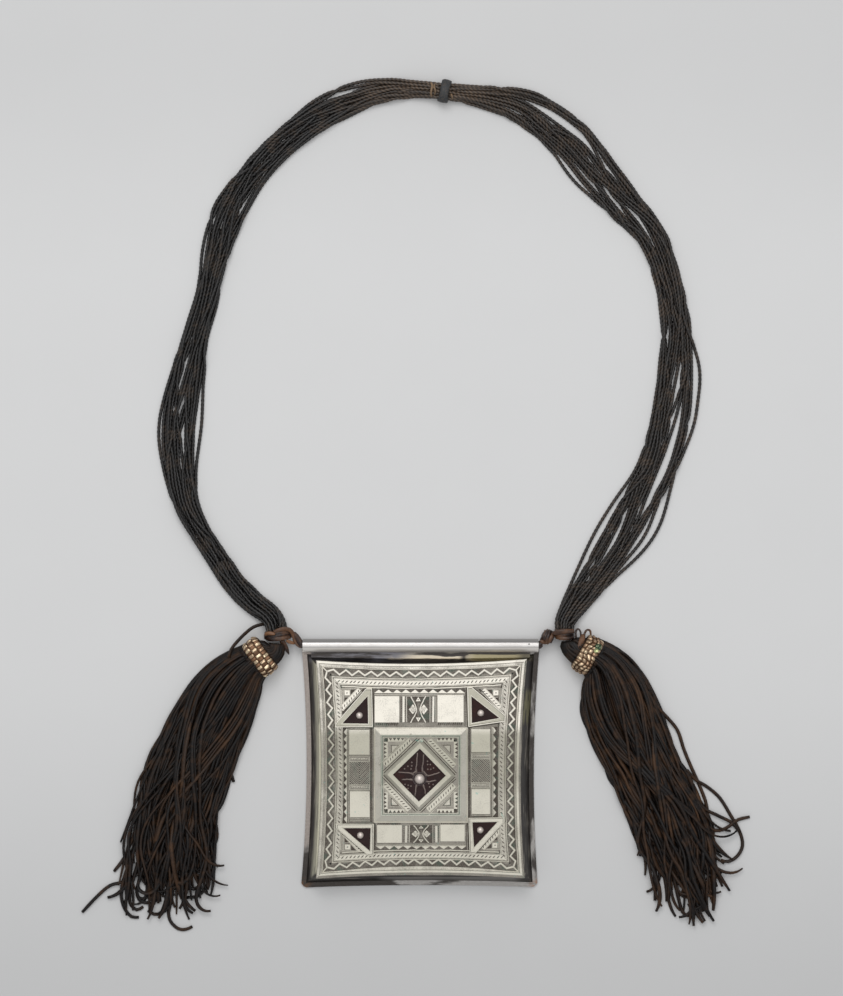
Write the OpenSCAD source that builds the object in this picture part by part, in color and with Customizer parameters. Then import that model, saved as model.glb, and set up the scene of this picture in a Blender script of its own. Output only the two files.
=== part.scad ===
// Amulet pendant: a silver box with a relief face, hung on a necklace of leather cords,
// with a leather tassel at each end of its suspension tube.
// It lies face up. X runs to its right, Y towards the neck and Z out of its face.
// The origin is on the surface it lies on, under the middle of the back plate.

/* [Case] */
// Sheet thickness of the back plate
back_t = 0.8; // [0.6:0.1:1.2]
// Height of the sloping side wall
wall_h = 8; // [6:0.5:10]
// Sheet thickness of the side wall
wall_t = 1; // [0.8:0.1:1.4]
// How far the foot of the wall stands in from the edge of the back plate
foot_inset = 2; // [1.5:0.25:2.5]
// How far the wall leans in from its foot to its top
wall_lean = 3.6; // [3:0.2:4]
// Radius of the worn lower corners of the back plate
corner_r = 3; // [1:0.5:5]

/* [Face plate] */
// Sheet thickness of the face plate
face_t = 1; // [0.8:0.1:1.4]
// Width of the plain raised rim
rim_w = 2.4; // [2:0.2:3]
// Height of the plain raised rim
rim_h = 0.8; // [0.4:0.1:1.2]
// Distance of the rope band from the edge of the plate, at the corners
rope_inset = 7.2; // [6.6:0.2:7.6]
// Width of the rope band
rope_w = 2.9; // [2.4:0.1:3.2]
// Height of the rope bands and the plain panels
panel_h = 0.4; // [0.2:0.1:0.6]
// Height of the bezels round the corner stones
bezel_h = 1; // [0.7:0.1:1.3]
// Height of the raised square in the middle
plateau_h = 1.6; // [1.2:0.1:2]
// Width of the sloping sides of the raised square
plateau_slope = 3; // [2.4:0.2:3.4]
// Height of the diamond bezel above the raised square
diamond_h = 0.9; // [0.7:0.1:1.2]

/* [Inlays and studs] */
// Thickness of the dark inlays
inlay_t = 1; // [0.8:0.1:1.2]
// Diameter of the ball stud in the middle
center_stud_d = 4.3; // [3.6:0.1:5]
// Diameter of the ball studs in the corners
corner_stud_d = 2.8; // [2.4:0.1:3.2]
// Diameter of the studs' shanks
shank_d = 1.2; // [1:0.1:1.4]

/* [Suspension tube] */
// Outer diameter of the tube
tube_d = 5.7; // [5.2:0.1:6]
// Bore of the tube
tube_bore = 4.7; // [4.4:0.1:4.8]
// Length of the tube
tube_len = 99; // [96:1:100]
// Distance of the tube's axis from the middle of the case
tube_y = 51.4; // [51:0.1:52]
// Height of the tube's axis above the surface
tube_z = 5.2; // [4.8:0.1:5.6]
// Diameter of the laces that run through the tube
thong_d = 3.6; // [3:0.1:4]

/* [Neck cords] */
// Cross section of all the cords of the bundle together, in square millimetres
bundle_area = 38; // [32:1:44]
// Lowest height of the flattened bundle
bundle_min_h = 2.6; // [2:0.1:3]
// Greatest height of the bundle
bundle_max_h = 5; // [4.6:0.1:5.2]
// Number of cords that show as ribs round the bundle
bundle_ribs = 8; // [6:1:10]

/* [Tassels] */
// Width of the woven metal bands
band_w = 17.4; // [17:0.2:18]
// Height of the woven metal bands as they lie
band_h = 12; // [11.6:0.2:12.4]
// Length of the woven metal bands along the tassel
band_len = 7.8; // [7:0.2:8.4]
// Wall thickness of the woven metal bands
band_t = 1.3; // [1:0.1:1.4]
// Height of the body of a tassel as it lies
tassel_h = 9; // [8:0.5:10]

/* [Hidden] */

// Clearance between pieces that are seated on each other
gap = 0.1;
// Facets of the long shallow arcs, of round metal, and of small leather turns
ARC_FN = 720;
ROUND_FN = 64;
eps = 0.01;

// Levels up from the surface
wall_z = back_t + gap;
face_z = wall_z + wall_h + gap;
relief_z = face_z + face_t;
plateau_z = relief_z + plateau_h;

// Outlines: one row for each side, from its first corner, the four sides clockwise from
// the upper left. Columns: x of the corner, y of the corner, rise of the inward bow.
COL_X = 0;
COL_Y = 1;
COL_BOW = 2;
BACK_SIDES = [[-50, 49.6, 0], [50, 49.6, 2], [49.4, -50.6, 1], [-50.4, -50.8, 2.2]];
FACE_SIDES = [[-43.8, 45.4, 1.7], [44.6, 46, 2.2], [43.6, -45.8, 1.5], [-43.8, -46, 2.1]];

// Plain panels of the face. Columns: left, right, lower and upper edge.
PANELS = [[-19.2, -8.9, 19.4, 30.4], [7.1, 18, 19.5, 30.8],
          [-18.2, -7.8, -31, -23.6], [8.3, 18.5, -30.4, -23.4],
          [-29.9, -21.4, 5.9, 16.3], [-29.6, -21.3, -20.3, -9.4],
          [21.3, 29.1, 7, 16.6], [21.4, 29.1, -19, -8.5]];
// Engraved panels of the face. Columns as above.
ORNAMENTS = [[-8.3, 6.3, 19.4, 30.4], [-7.2, 7.8, -31, -23.6],
             [-29.8, -21.3, -8.8, 5.2], [21.3, 29.1, -7.9, 6.4]];
ORNAMENT_H = 0.2;
// Share of the plate's bow that the inner and outer edges of its bands keep
RIM_BOWS = [1, 0.9];
ROPE_BOWS = [0.8, 0.7];

// Corner bezels. Columns: outline of the bezel, outline of its stone, place of its stud.
COL_BEZEL = 0;
COL_STONE = 1;
COL_STUD = 2;
CORNERS = [
    [[[-19.9, 17.4], [-36, 17.4], [-35.6, 19], [-22.6, 33.8], [-20.3, 33.8]],
     [[-22.2, 30.4], [-32.7, 19.1], [-21.9, 18.9]], [-25.6, 22.4]],
    [[[19.9, 17.5], [19.4, 34.3], [21.4, 34.3], [35.8, 22], [35.6, 19.8]],
     [[21.3, 30.4], [32.9, 21.3], [21.5, 19.2]], [25.2, 23.4]],
    [[[-19.5, -23], [-19.7, -36.4], [-21.8, -36.4], [-35.4, -24.8], [-35.6, -23]],
     [[-32.4, -24.8], [-20.9, -24.8], [-21.2, -34.4]], [-25.2, -27.8]],
    [[[20, -20.5], [35.2, -20.3], [35.2, -22], [22.8, -35.6], [20.5, -35.8]],
     [[21.7, -22.4], [32.2, -22.2], [22.4, -32.8]], [25, -25.6]]];

// Raised square and diamond of the middle
PLATEAU_BOX = [[-19.6, 19.8], [-22.6, 17.3]];
DIAMOND_AT = [-0.5, -2.5];
DIAMOND_TURN = 44;
DIAMOND_OUTER = 21.4;
DIAMOND_TOP = 19;
DIAMOND_STONE = 15.7;
DIAMOND_SINK = 0.6;
STUD_AT = [-0.4, -4.1];

// Seats of the inlays and of the studs' shanks
INLAY_FIT = 0.975;
CORNER_INLAY_T = inlay_t * 0.7;
HOLE_D = shank_d + 2 * gap;
HOLE_LOW = face_z + face_t / 2;
CORNER_INLAY_Z = relief_z + gap;
CENTER_INLAY_Z = plateau_z - DIAMOND_SINK + gap;

// Seat of the suspension tube
SEAT_LEN = 92;
SEAT_BACK = 44.8;
SEAT_TOP = 3.6;

// Neck cords, from the hitch up to the top wrap. Columns: x, y, width of the bundle, lift
// of its underside off the surface.
COL_W = 2;
COL_LIFT = 3;
CORDS_L = [[-60.6, 58.6, 9, 1.4], [-61.4, 61.4, 9.4, 0.9], [-64.2, 65.2, 9.8, 0.3],
           [-71, 70, 9.8, 0], [-79, 78.4, 9.4, 0], [-87, 90, 9, 0],
           [-94, 101, 9.6, 0], [-99.4, 113, 11.4, 0], [-101.8, 129, 13.6, 0],
           [-101.4, 148, 15.4, 0], [-97.8, 169, 14, 0], [-94, 185, 11, 0],
           [-89.2, 202, 9.6, 0], [-85.2, 217, 10.6, 0], [-79.6, 233, 12.8, 0],
           [-70, 249.6, 11.6, 0], [-56.6, 264, 11.8, 0], [-39, 276, 12.6, 0],
           [-19, 284.2, 9.8, 0], [-4, 285.8, 7.2, 0.5], [10, 284.5, 6.4, 1.1]];
CORDS_R = [[60.6, 59.1, 8, 1.4], [61.3, 62.6, 9.2, 0.9], [67, 71.6, 12, 0],
           [76, 84.4, 14, 0], [84.4, 98, 15, 0], [91.4, 111, 16.2, 0],
           [99.4, 126, 16.8, 0], [104.6, 142, 17.4, 0], [107, 159, 17.2, 0],
           [107.6, 175, 15.4, 0], [106.8, 191, 13.4, 0], [103.4, 208, 11.8, 0],
           [97, 224, 12.6, 0], [85.4, 237.6, 16, 0], [74.6, 250.4, 17.2, 0],
           [63, 264.8, 17.6, 0], [46, 276.8, 16.2, 0], [30, 281.6, 11.2, 0.1],
           [19, 283.4, 7.2, 0.8], [10.3, 284.5, 6.4, 1.1]];
BUNDLE_STEPS = 2;
BUNDLE_SIDES = 16;
RIB_DEPTH = 0.1;
RIB_TWIST = 30;

// Top wrap round the neck cords: place, turn from square to the cords, and sizes
WRAP_AT = [10.15, 284.6, 3.6];
WRAP_TILT = 10;
WRAP_OUTER = [10.2, 7.4];
WRAP_T = 0.8;
WRAP_LEN = 4.6;

// Turns of leather lace that stand on the surface. Columns: x, y of the middle, length
// along the axis, width, height, heading of the axis in the plane of the surface.
LACED_LEN = 2;
LACED_W = 3;
LACED_H = 4;
LACED_HEADING = 5;
HITCH_L = [-60, 55.7, 4.6, 11.6, 8.4, -86];
HITCH_R = [60.4, 56.2, 5.2, 8.6, 8.2, -92];
KNOT_R = [53.6, 54.8, 4.4, 6.8, 7.6, 0];
LACED_TURNS = 3;
TURN_ROWS = 4;
LACED_SIDES = 18;
LACED_GROOVE = 0.14;
LACED_END = 0.62;

// Lace through the tube. Columns: x, y, height of its axis, diameter as a share of thong_d.
THONG = [[-53.9, 56.2, 5.6, 0.62], [-53.1, 56.2, 5.6, 0.62], [-52.1, 55.2, 5.5, 0.64],
         [-51.1, 53.5, 5.3, 0.7], [-50.1, 52, 5.2, 0.8], [-48, 51.4, 5.2, 1],
         [48, 51.4, 5.2, 1], [50, 51.7, 5.2, 0.9], [50.8, 52.3, 5.2, 0.8],
         [51.3, 52.3, 5.2, 0.8]];
THONG_SIDES = 10;

// Tassels, from the head to the fringe. Columns: x, y, width and height of the trunk, the
// height past the band as a share of tassel_h.
TRUNK_H = 3;
TRUNK_L = [[-60.6, 52.1, 6.6, 5.6], [-61.1, 49.4, 8.8, 7], [-63.4, 47.7, 11.2, 8.4],
           [-67.4, 46.7, 14.2, 8.8], [-71.6, 43.6, 14.2, 8.8], [-75.6, 39.8, 22, 1],
           [-82, 31, 28, 1], [-88, 19, 31, 0.96], [-93.8, 5, 33, 0.9],
           [-99.6, -10, 34, 0.82], [-103.4, -25, 35, 0.73], [-105.6, -39, 35, 0.6]];
TRUNK_R = [[62.2, 53.1, 6.2, 5.6], [62.5, 51.8, 8.6, 7], [65.2, 49.8, 11.4, 8.4],
           [70.1, 47.5, 14.2, 8.8], [74.5, 45, 14.2, 8.8], [78, 41, 21, 1],
           [82, 31, 29, 1], [86, 19, 31, 0.96], [91, 7, 30, 0.9],
           [97, -6, 29, 0.82], [103, -19, 30, 0.73], [107.6, -31, 30.4, 0.67],
           [110.6, -41, 28, 0.58]];
BAND_L = [-67.4, 46.7, -143.5];
BAND_R = [70.1, 47.5, -30.3];
// Rows of weave that stand proud of a band: their count, rise, and share of their pitch
WEAVE_ROWS = 3;
WEAVE_RISE = 0.3;
WEAVE_SHARE = 0.8;
TRUNK_STEPS = 2;
// Number of the row just past the band
BAND_ROWS = 4;

// Locks at the foot of a tassel, from its right to its left as it hangs. Columns: how far
// the tip reaches past the trunk, how far it swings to the right.
LOCKS_L = [[22, 16], [11, 1], [14, -2], [20, 2], [15, -1], [21, 1.5], [15, -2], [18, 1],
           [12, 2]];
LOCKS_R = [[9, -3], [14, 0], [19, 1], [23, -1], [20, 2], [22, -2], [17, 1], [13, -2],
           [8, -4]];
LOCK_COLUMNS = 3;
NOTCH_REACH = 3;
GROOVE_DEPTH = 0.12;
FRINGE_ROWS = 3;
FRINGE_THIN = 0.5;
LOCK_TAPER = 0.4;

// Functions for outlines

// Distance from one plan point to the next
function span(a, b) = norm([b[0] - a[0], b[1] - a[1]]);
// Radius of the arc that rises by bow over a chord
function arc_r(chord, bow) = (chord * chord / 4 + bow * bow) / (2 * bow);
// Middle of the two corners of side i
function side_mid(sides, i) = let (a = sides[i], b = sides[(i + 1) % 4])
    [(a[0] + b[0]) / 2, (a[1] + b[1]) / 2];
// Unit vector that points out of side i, the corners running clockwise
function side_out(sides, i) = let (a = sides[i], b = sides[(i + 1) % 4], l = span(a, b))
    [-(b[1] - a[1]) / l, (b[0] - a[0]) / l];
// The same outline drawn in by d, with its bows fading towards the middle
function drawn_in(sides, d, fade) = [for (s = sides)
    [s[COL_X] - d * sign(s[COL_X]), s[COL_Y] - d * sign(s[COL_Y]), s[COL_BOW] * fade]];
// Points moved towards their middle by the factor k
function shrunk(pts, k) = let (c = [for (j = [0, 1]) sum([for (p = pts) p[j]]) / len(pts)])
    [for (p = pts) c + (p - c) * k];
function sum(v, i = 0) = i == len(v) ? 0 : v[i] + sum(v, i + 1);

// Functions for soft forms

function unit(v) = v / norm(v);
function row(rows, i) = rows[max(0, min(len(rows) - 1, i))];
// Point at t from 0 to 1 between b and c on the smooth curve through a, b, c and d
function eased(a, b, c, d, t) = 0.5 * (2 * b + (c - a) * t
    + (2 * a - 5 * b + 4 * c - d) * t * t + (3 * b - a - 3 * c + d) * t * t * t);
// Rows of a table with steps - 1 more rows eased in between each pair
function smooth(rows, steps) = concat(
    [for (i = [0 : len(rows) - 2], k = [0 : steps - 1])
        eased(row(rows, i - 1), rows[i], row(rows, i + 1), row(rows, i + 2), k / steps)],
    [rows[len(rows) - 1]]);
// Heading in plan along the rows at row i
function heading(rows, i) = let (a = row(rows, i - 1), b = row(rows, i + 1))
    unit([b[0] - a[0], b[1] - a[1], 0]);
// Unit vector to the right of a heading
function right_of(h) = [h[1], -h[0], 0];
// One ring of n points round a flattened section that stands on z = low
function flat_ring(at, h, w, tall, low, n) = let (k = 1 / cos(180 / n))
    [for (j = [0 : n - 1]) let (a = (j + 0.5) * 360 / n)
        [at[0], at[1], low + tall / 2] + right_of(h) * (w / 2 * k * cos(a))
            + [0, 0, tall / 2 * k * sin(a)]];
function bundle_h(w) = min(bundle_max_h, max(bundle_min_h, bundle_area / w));

// Outlines and solids from them

// Flat outline whose four sides bow inwards
module bowed_outline(sides) {
    difference() {
        polygon([for (s = sides) [s[COL_X], s[COL_Y]]]);
        for (i = [0 : 3])
            if (sides[i][COL_BOW] > 0) {
                r = arc_r(span(sides[i], sides[(i + 1) % 4]), sides[i][COL_BOW]);
                translate(side_mid(sides, i) + side_out(sides, i) * (r - sides[i][COL_BOW]))
                    circle(r = r, $fn = ARC_FN);
            }
    }
}

// Block whose four bowed sides lean in by lean over its height, less inset all round
module leaning_block(sides, inset, lean, tall) {
    difference() {
        linear_extrude(tall) polygon([for (s = sides) [s[COL_X], s[COL_Y]]]);
        for (i = [0 : 3]) {
            bow = max(sides[i][COL_BOW], 0.5);
            r = arc_r(span(sides[i], sides[(i + 1) % 4]), bow);
            at = side_mid(sides, i) + side_out(sides, i) * (r - bow);
            translate([at[0], at[1], -eps])
                cylinder(h = tall + 2 * eps, r1 = r + inset, r2 = r + inset + lean, $fn = ARC_FN);
        }
    }
}

// Rectangle between the edges of a table row
module pad(edges, tall) {
    translate([edges[0], edges[2], 0]) cube([edges[1] - edges[0], edges[3] - edges[2], tall]);
}

// Rectangular frustum whose sides lean in by slope
module frustum(x_edges, y_edges, slope, tall) {
    intersection() {
        translate([0, y_edges[1], 0]) rotate([90, 0, 0])
            linear_extrude(y_edges[1] - y_edges[0])
                polygon([[x_edges[0], 0], [x_edges[1], 0],
                         [x_edges[1] - slope, tall], [x_edges[0] + slope, tall]]);
        translate([x_edges[0], 0, 0]) rotate([90, 0, 90])
            linear_extrude(x_edges[1] - x_edges[0])
                polygon([[y_edges[0], 0], [y_edges[1], 0],
                         [y_edges[1] - slope, tall], [y_edges[0] + slope, tall]]);
    }
}

// Flat oval: a rectangle with round ends
module oval(w, h) {
    square([w - h, h], center = true);
    for (s = [-1, 1]) translate([s * (w - h) / 2, 0]) circle(d = h, $fn = ROUND_FN);
}

// Oval ring whose axis lies in the plan along heading a
module lying_ring(at, a, outer, t, len) {
    translate(at) rotate([90, 0, a + 90]) translate([0, 0, -len / 2])
        linear_extrude(len) difference() {
            oval(outer[0], outer[1]);
            oval(outer[0] - 2 * t, outer[1] - 2 * t);
        }
}

// Closed solid through rings of n points. Its far end is flat, or a strip that joins each
// point of the upper side to the one below it.
module skinned(rings, strip_end = false) {
    n = len(rings[0]);
    m = len(rings);
    e = (m - 1) * n;
    polyhedron(
        points = [for (r = rings, p = r) p],
        faces = concat(
            [[for (j = [0 : n - 1]) j]],
            [for (i = [0 : m - 2], j = [0 : n - 1])
                each let (a = i * n + j, b = i * n + (j + 1) % n)
                    [[a, a + n, b], [b, a + n, b + n]]],
            strip_end
                ? [for (j = [0 : n / 2 - 2])
                    each let (top = e + j, low = e + n - 1 - j)
                        [[top + 1, top, low], [top + 1, low, low - 1]]]
                : [[for (j = [n - 1 : -1 : 0]) e + j]]));
}

// Pieces of the case

module back_plate() {
    color("dimgray") difference() {
        linear_extrude(back_t) bowed_outline(BACK_SIDES);
        for (s = [-1, 1])
            let (c = s < 0 ? BACK_SIDES[3] : BACK_SIDES[2])
                translate([c[0] - s * corner_r, c[1] + corner_r, -eps])
                    linear_extrude(back_t + 2 * eps) difference() {
                        translate([s > 0 ? 0 : -2 * corner_r, -2 * corner_r])
                            square(2 * corner_r);
                        circle(r = corner_r, $fn = ROUND_FN);
                    }
    }
}

module case_wall() {
    color("gray") difference() {
        union() {
            translate([0, 0, wall_z]) difference() {
                leaning_block(BACK_SIDES, foot_inset, wall_lean, wall_h);
                translate([0, 0, -eps])
                    leaning_block(BACK_SIDES, foot_inset + wall_t, wall_lean, wall_h + 2 * eps);
            }
            translate([-SEAT_LEN / 2, SEAT_BACK, wall_z])
                cube([SEAT_LEN, tube_y - SEAT_BACK, SEAT_TOP - wall_z]);
            translate([-tube_len / 2, tube_y, tube_z]) rotate([0, 90, 0])
                cylinder(h = tube_len, d = tube_d, $fn = ROUND_FN);
        }
        translate([-tube_len / 2 - 1, tube_y, tube_z]) rotate([0, 90, 0])
            cylinder(h = tube_len + 2, d = tube_bore, $fn = ROUND_FN);
    }
}

// Raised band that follows the edge of the face plate, between two insets
module border_band(from, to, bows, tall) {
    linear_extrude(tall) difference() {
        bowed_outline(drawn_in(FACE_SIDES, from, bows[0]));
        bowed_outline(drawn_in(FACE_SIDES, to, bows[1]));
    }
}

module diamond(side) {
    translate(DIAMOND_AT) rotate(DIAMOND_TURN) square(side, center = true);
}

// Square frustum turned to stand on its corner
module diamond_bezel() {
    half = DIAMOND_OUTER / 2;
    translate([DIAMOND_AT[0], DIAMOND_AT[1], 0]) rotate([0, 0, DIAMOND_TURN])
        frustum([-half, half], [-half, half], (DIAMOND_OUTER - DIAMOND_TOP) / 2, diamond_h);
}

module face_plate() {
    color("silver") difference() {
        union() {
            translate([0, 0, face_z]) linear_extrude(face_t) bowed_outline(FACE_SIDES);
            translate([0, 0, relief_z - eps]) {
                border_band(0, rim_w, RIM_BOWS, rim_h + eps);
                border_band(rope_inset, rope_inset + rope_w, ROPE_BOWS, panel_h + eps);
                for (p = PANELS) pad(p, panel_h + eps);
                for (p = ORNAMENTS) pad(p, ORNAMENT_H + eps);
                for (c = CORNERS) linear_extrude(bezel_h + eps) polygon(c[COL_BEZEL]);
                frustum(PLATEAU_BOX[0], PLATEAU_BOX[1], plateau_slope, plateau_h + eps);
            }
            translate([0, 0, plateau_z]) diamond_bezel();
        }
        translate([0, 0, plateau_z - DIAMOND_SINK])
            linear_extrude(DIAMOND_SINK + diamond_h + 1) diamond(DIAMOND_STONE);
        translate([STUD_AT[0], STUD_AT[1], HOLE_LOW])
            cylinder(h = face_t + plateau_h, d = HOLE_D, $fn = ROUND_FN);
        for (c = CORNERS) {
            translate([0, 0, relief_z]) linear_extrude(bezel_h + 1) polygon(c[COL_STONE]);
            translate([c[COL_STUD][0], c[COL_STUD][1], HOLE_LOW])
                cylinder(h = face_t, d = HOLE_D, $fn = ROUND_FN);
        }
    }
}

// Inlays and their studs

module inlay_center() {
    color("#2a1c1e") difference() {
        translate([0, 0, CENTER_INLAY_Z]) linear_extrude(inlay_t)
            diamond(DIAMOND_STONE - 2 * gap);
        translate([STUD_AT[0], STUD_AT[1], CENTER_INLAY_Z - 1])
            cylinder(h = inlay_t + 2, d = HOLE_D, $fn = ROUND_FN);
    }
}

module inlay_corner(c) {
    color("#2a1c1e") difference() {
        translate([0, 0, CORNER_INLAY_Z]) linear_extrude(CORNER_INLAY_T)
            polygon(shrunk(c[COL_STONE], INLAY_FIT));
        translate([c[COL_STUD][0], c[COL_STUD][1], CORNER_INLAY_Z - 1])
            cylinder(h = inlay_t + 2, d = HOLE_D, $fn = ROUND_FN);
    }
}

module inlay_nw() { inlay_corner(CORNERS[0]); }
module inlay_ne() { inlay_corner(CORNERS[1]); }
module inlay_sw() { inlay_corner(CORNERS[2]); }
module inlay_se() { inlay_corner(CORNERS[3]); }

// Half ball on a shank that ends in the plate's blind hole
module stud(at, d, low, foot) {
    color("rosybrown") translate([at[0], at[1], low]) {
        intersection() {
            sphere(d = d, $fn = ROUND_FN);
            translate([-d, -d, 0]) cube([2 * d, 2 * d, d]);
        }
        translate([0, 0, foot - low]) cylinder(h = low - foot + eps, d = shank_d, $fn = ROUND_FN);
    }
}

module corner_stud(c) {
    stud(c[COL_STUD], corner_stud_d, CORNER_INLAY_Z + CORNER_INLAY_T + gap, HOLE_LOW + gap);
}

module stud_center() {
    stud(STUD_AT, center_stud_d, CENTER_INLAY_Z + inlay_t + gap, HOLE_LOW + gap);
}
module stud_nw() { corner_stud(CORNERS[0]); }
module stud_ne() { corner_stud(CORNERS[1]); }
module stud_sw() { corner_stud(CORNERS[2]); }
module stud_se() { corner_stud(CORNERS[3]); }

// Leather

module hanging_thong() {
    color("saddlebrown") skinned([for (i = [0 : len(THONG) - 1])
        let (t = THONG[i], d = thong_d * t[3])
            flat_ring(t, heading(THONG, i), d, d, t[2] - d / 2, THONG_SIDES)]);
}

// Turns of lace side by side round the ends of the cords
module laced(b) {
    last = LACED_TURNS * TURN_ROWS;
    h = [cos(b[LACED_HEADING]), sin(b[LACED_HEADING]), 0];
    color("saddlebrown") skinned([for (i = [0 : last])
        let (t = i / last,
             k = i == 0 || i == last ? LACED_END
                 : 1 - LACED_GROOVE * (1 - abs(sin(180 * LACED_TURNS * t))))
            flat_ring([b[0], b[1]] + [h[0], h[1]] * ((t - 0.5) * b[LACED_LEN]), h,
                      b[LACED_W] * k, b[LACED_H] * k, b[LACED_H] / 2 * (1 - k), LACED_SIDES)]);
}
module hitch_left() { laced(HITCH_L); }
module hitch_right() { laced(HITCH_R); }
module knot_right() { laced(KNOT_R); }

// Woven metal band
module tassel_band(b) {
    pitch = band_len / WEAVE_ROWS;
    mid = band_h / 2 + gap / 2;
    color("goldenrod") {
        lying_ring([b[0], b[1], mid], b[2],
                   [band_w - 2 * WEAVE_RISE, band_h - 2 * WEAVE_RISE], band_t - WEAVE_RISE,
                   band_len);
        for (i = [0 : WEAVE_ROWS - 1])
            let (d = (i - (WEAVE_ROWS - 1) / 2) * pitch)
                lying_ring([b[0] + d * cos(b[2]), b[1] + d * sin(b[2]), mid], b[2],
                           [band_w, band_h], band_t, pitch * WEAVE_SHARE);
    }
}
module band_left() { tassel_band(BAND_L); }
module band_right() { tassel_band(BAND_R); }

// Height of the underside of a trunk: level with the hole of its band up to the row past
// the band, and then on the surface
function trunk_low(trunk, i) = i <= BAND_ROWS ? (band_h + gap - trunk[i][TRUNK_H]) / 2 : 0;
// Rows of a trunk, with the underside's height as their fifth column
function trunk_rows(trunk) = smooth([for (i = [0 : len(trunk) - 1])
    [trunk[i][0], trunk[i][1], trunk[i][2],
     i > BAND_ROWS ? tassel_h * trunk[i][TRUNK_H] : trunk[i][TRUNK_H],
     trunk_low(trunk, i)]], TRUNK_STEPS);

// One ring of a trunk: an oval with a groove between each two locks, on its upper side
function trunk_ring(rows, i, n) = let (
        t = rows[i],
        ring = flat_ring(t, heading(rows, i), t[2], t[3], t[4], n),
        mid = [t[0], t[1], t[4] + t[3] / 2])
    [for (j = [0 : n - 1])
        mid + (ring[j] - mid) * (j < n / 2 && j % LOCK_COLUMNS == 0 ? 1 - GROOVE_DEPTH : 1)];

// The last ring of a trunk drawn out into locks, by a share of their reach
function fringe_ring(ring, h, locks, share) = let (n = len(ring), side = right_of(h))
    [for (j = [0 : n - 1])
        let (c = j < n / 2 ? j : n - 1 - j,
             notch = c % LOCK_COLUMNS == 0,
             k = min(floor(c / LOCK_COLUMNS), len(locks) - 1),
             lock = locks[k],
             step = norm(ring[k * LOCK_COLUMNS + 1] - ring[k * LOCK_COLUMNS + 2]),
             inward = notch ? 0 : (c % LOCK_COLUMNS == 1 ? -1 : 1) * step * LOCK_TAPER,
             reach = (notch ? NOTCH_REACH : lock[0]) * share,
             swing = notch ? 0 : lock[1] * share)
            [ring[j][0] + h[0] * reach + side[0] * (swing + inward * share),
             ring[j][1] + h[1] * reach + side[1] * (swing + inward * share),
             ring[j][2] * (1 - FRINGE_THIN * share)]];

module tassel(trunk, locks) {
    rows = trunk_rows(trunk);
    m = len(rows);
    n = 2 * (len(locks) * LOCK_COLUMNS + 1);
    last = trunk_ring(rows, m - 1, n);
    color("#2b1d15") skinned(
        concat([for (i = [0 : m - 1]) trunk_ring(rows, i, n)],
               [for (f = [1 : FRINGE_ROWS])
                   fringe_ring(last, heading(rows, m - 1), locks, f / FRINGE_ROWS)]),
        true);
}
module tassel_left() { tassel(TRUNK_L, LOCKS_L); }
module tassel_right() { tassel(TRUNK_R, LOCKS_R); }

// Flattened bundle of cords with ribs that wind slowly round it
module cord_bundle(rows) {
    fine = smooth(rows, BUNDLE_STEPS);
    color("#1d1713") skinned([for (i = [0 : len(fine) - 1])
        let (w = fine[i][COL_W],
             ring = flat_ring(fine[i], heading(fine, i), w, bundle_h(w), fine[i][COL_LIFT],
                              BUNDLE_SIDES),
             mid = [fine[i][0], fine[i][1], fine[i][COL_LIFT] + bundle_h(w) / 2])
            [for (j = [0 : BUNDLE_SIDES - 1])
                let (a = (j + 0.5) * 360 / BUNDLE_SIDES,
                     rib = ring[j][2] < mid[2] - bundle_h(w) / 4 ? 1
                         : 1 - RIB_DEPTH / 2 * (1 + cos(bundle_ribs * a + i * RIB_TWIST)))
                    mid + (ring[j] - mid) * rib]]);
}
module cords_left() { cord_bundle(CORDS_L); }
module cords_right() { cord_bundle(CORDS_R); }

module top_wrap() {
    color("dimgray") lying_ring(WRAP_AT, WRAP_TILT, WRAP_OUTER, WRAP_T, WRAP_LEN);
}

back_plate();
case_wall();
face_plate();
inlay_center();
inlay_nw();
inlay_ne();
inlay_sw();
inlay_se();
stud_center();
stud_nw();
stud_ne();
stud_sw();
stud_se();
hanging_thong();
hitch_left();
hitch_right();
knot_right();
band_left();
band_right();
tassel_left();
tassel_right();
cords_left();
cords_right();
top_wrap();
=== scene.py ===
"""Dresses the amulet pendant: its silver box, leather neck cords, tassels and woven bands.

Tables are in millimetres unless they say metres. The pendant lies face up: X runs to its right,
Y towards the neck, and Z out of its face.
"""

import logging
import math
from dataclasses import dataclass, field
from enum import Enum

import bpy
import numpy as np
from numpy.typing import NDArray
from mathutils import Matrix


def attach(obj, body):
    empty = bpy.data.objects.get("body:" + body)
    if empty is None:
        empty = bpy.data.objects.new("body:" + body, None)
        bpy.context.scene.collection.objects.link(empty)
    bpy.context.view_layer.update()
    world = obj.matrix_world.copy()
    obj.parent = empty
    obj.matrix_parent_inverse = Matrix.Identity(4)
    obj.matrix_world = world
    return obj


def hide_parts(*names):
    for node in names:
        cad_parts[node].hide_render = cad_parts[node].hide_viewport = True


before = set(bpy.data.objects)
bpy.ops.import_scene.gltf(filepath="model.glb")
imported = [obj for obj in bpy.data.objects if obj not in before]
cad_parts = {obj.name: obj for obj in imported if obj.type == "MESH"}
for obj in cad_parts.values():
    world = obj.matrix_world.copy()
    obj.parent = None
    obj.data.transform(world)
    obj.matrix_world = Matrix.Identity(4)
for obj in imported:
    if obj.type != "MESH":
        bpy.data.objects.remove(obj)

Array = NDArray[np.float64]
Pair = tuple[float, float]
Triple = tuple[float, float, float]
Four = tuple[float, float, float, float]
Stray = tuple[int, float, float, float]
MM = 0.001
UP = np.array([0.0, 0.0, 1.0])
GOLDEN = 0.6180339887
PHOTO_H = 996
log = logging.getLogger("pendant")


# Small functions on arrays


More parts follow.
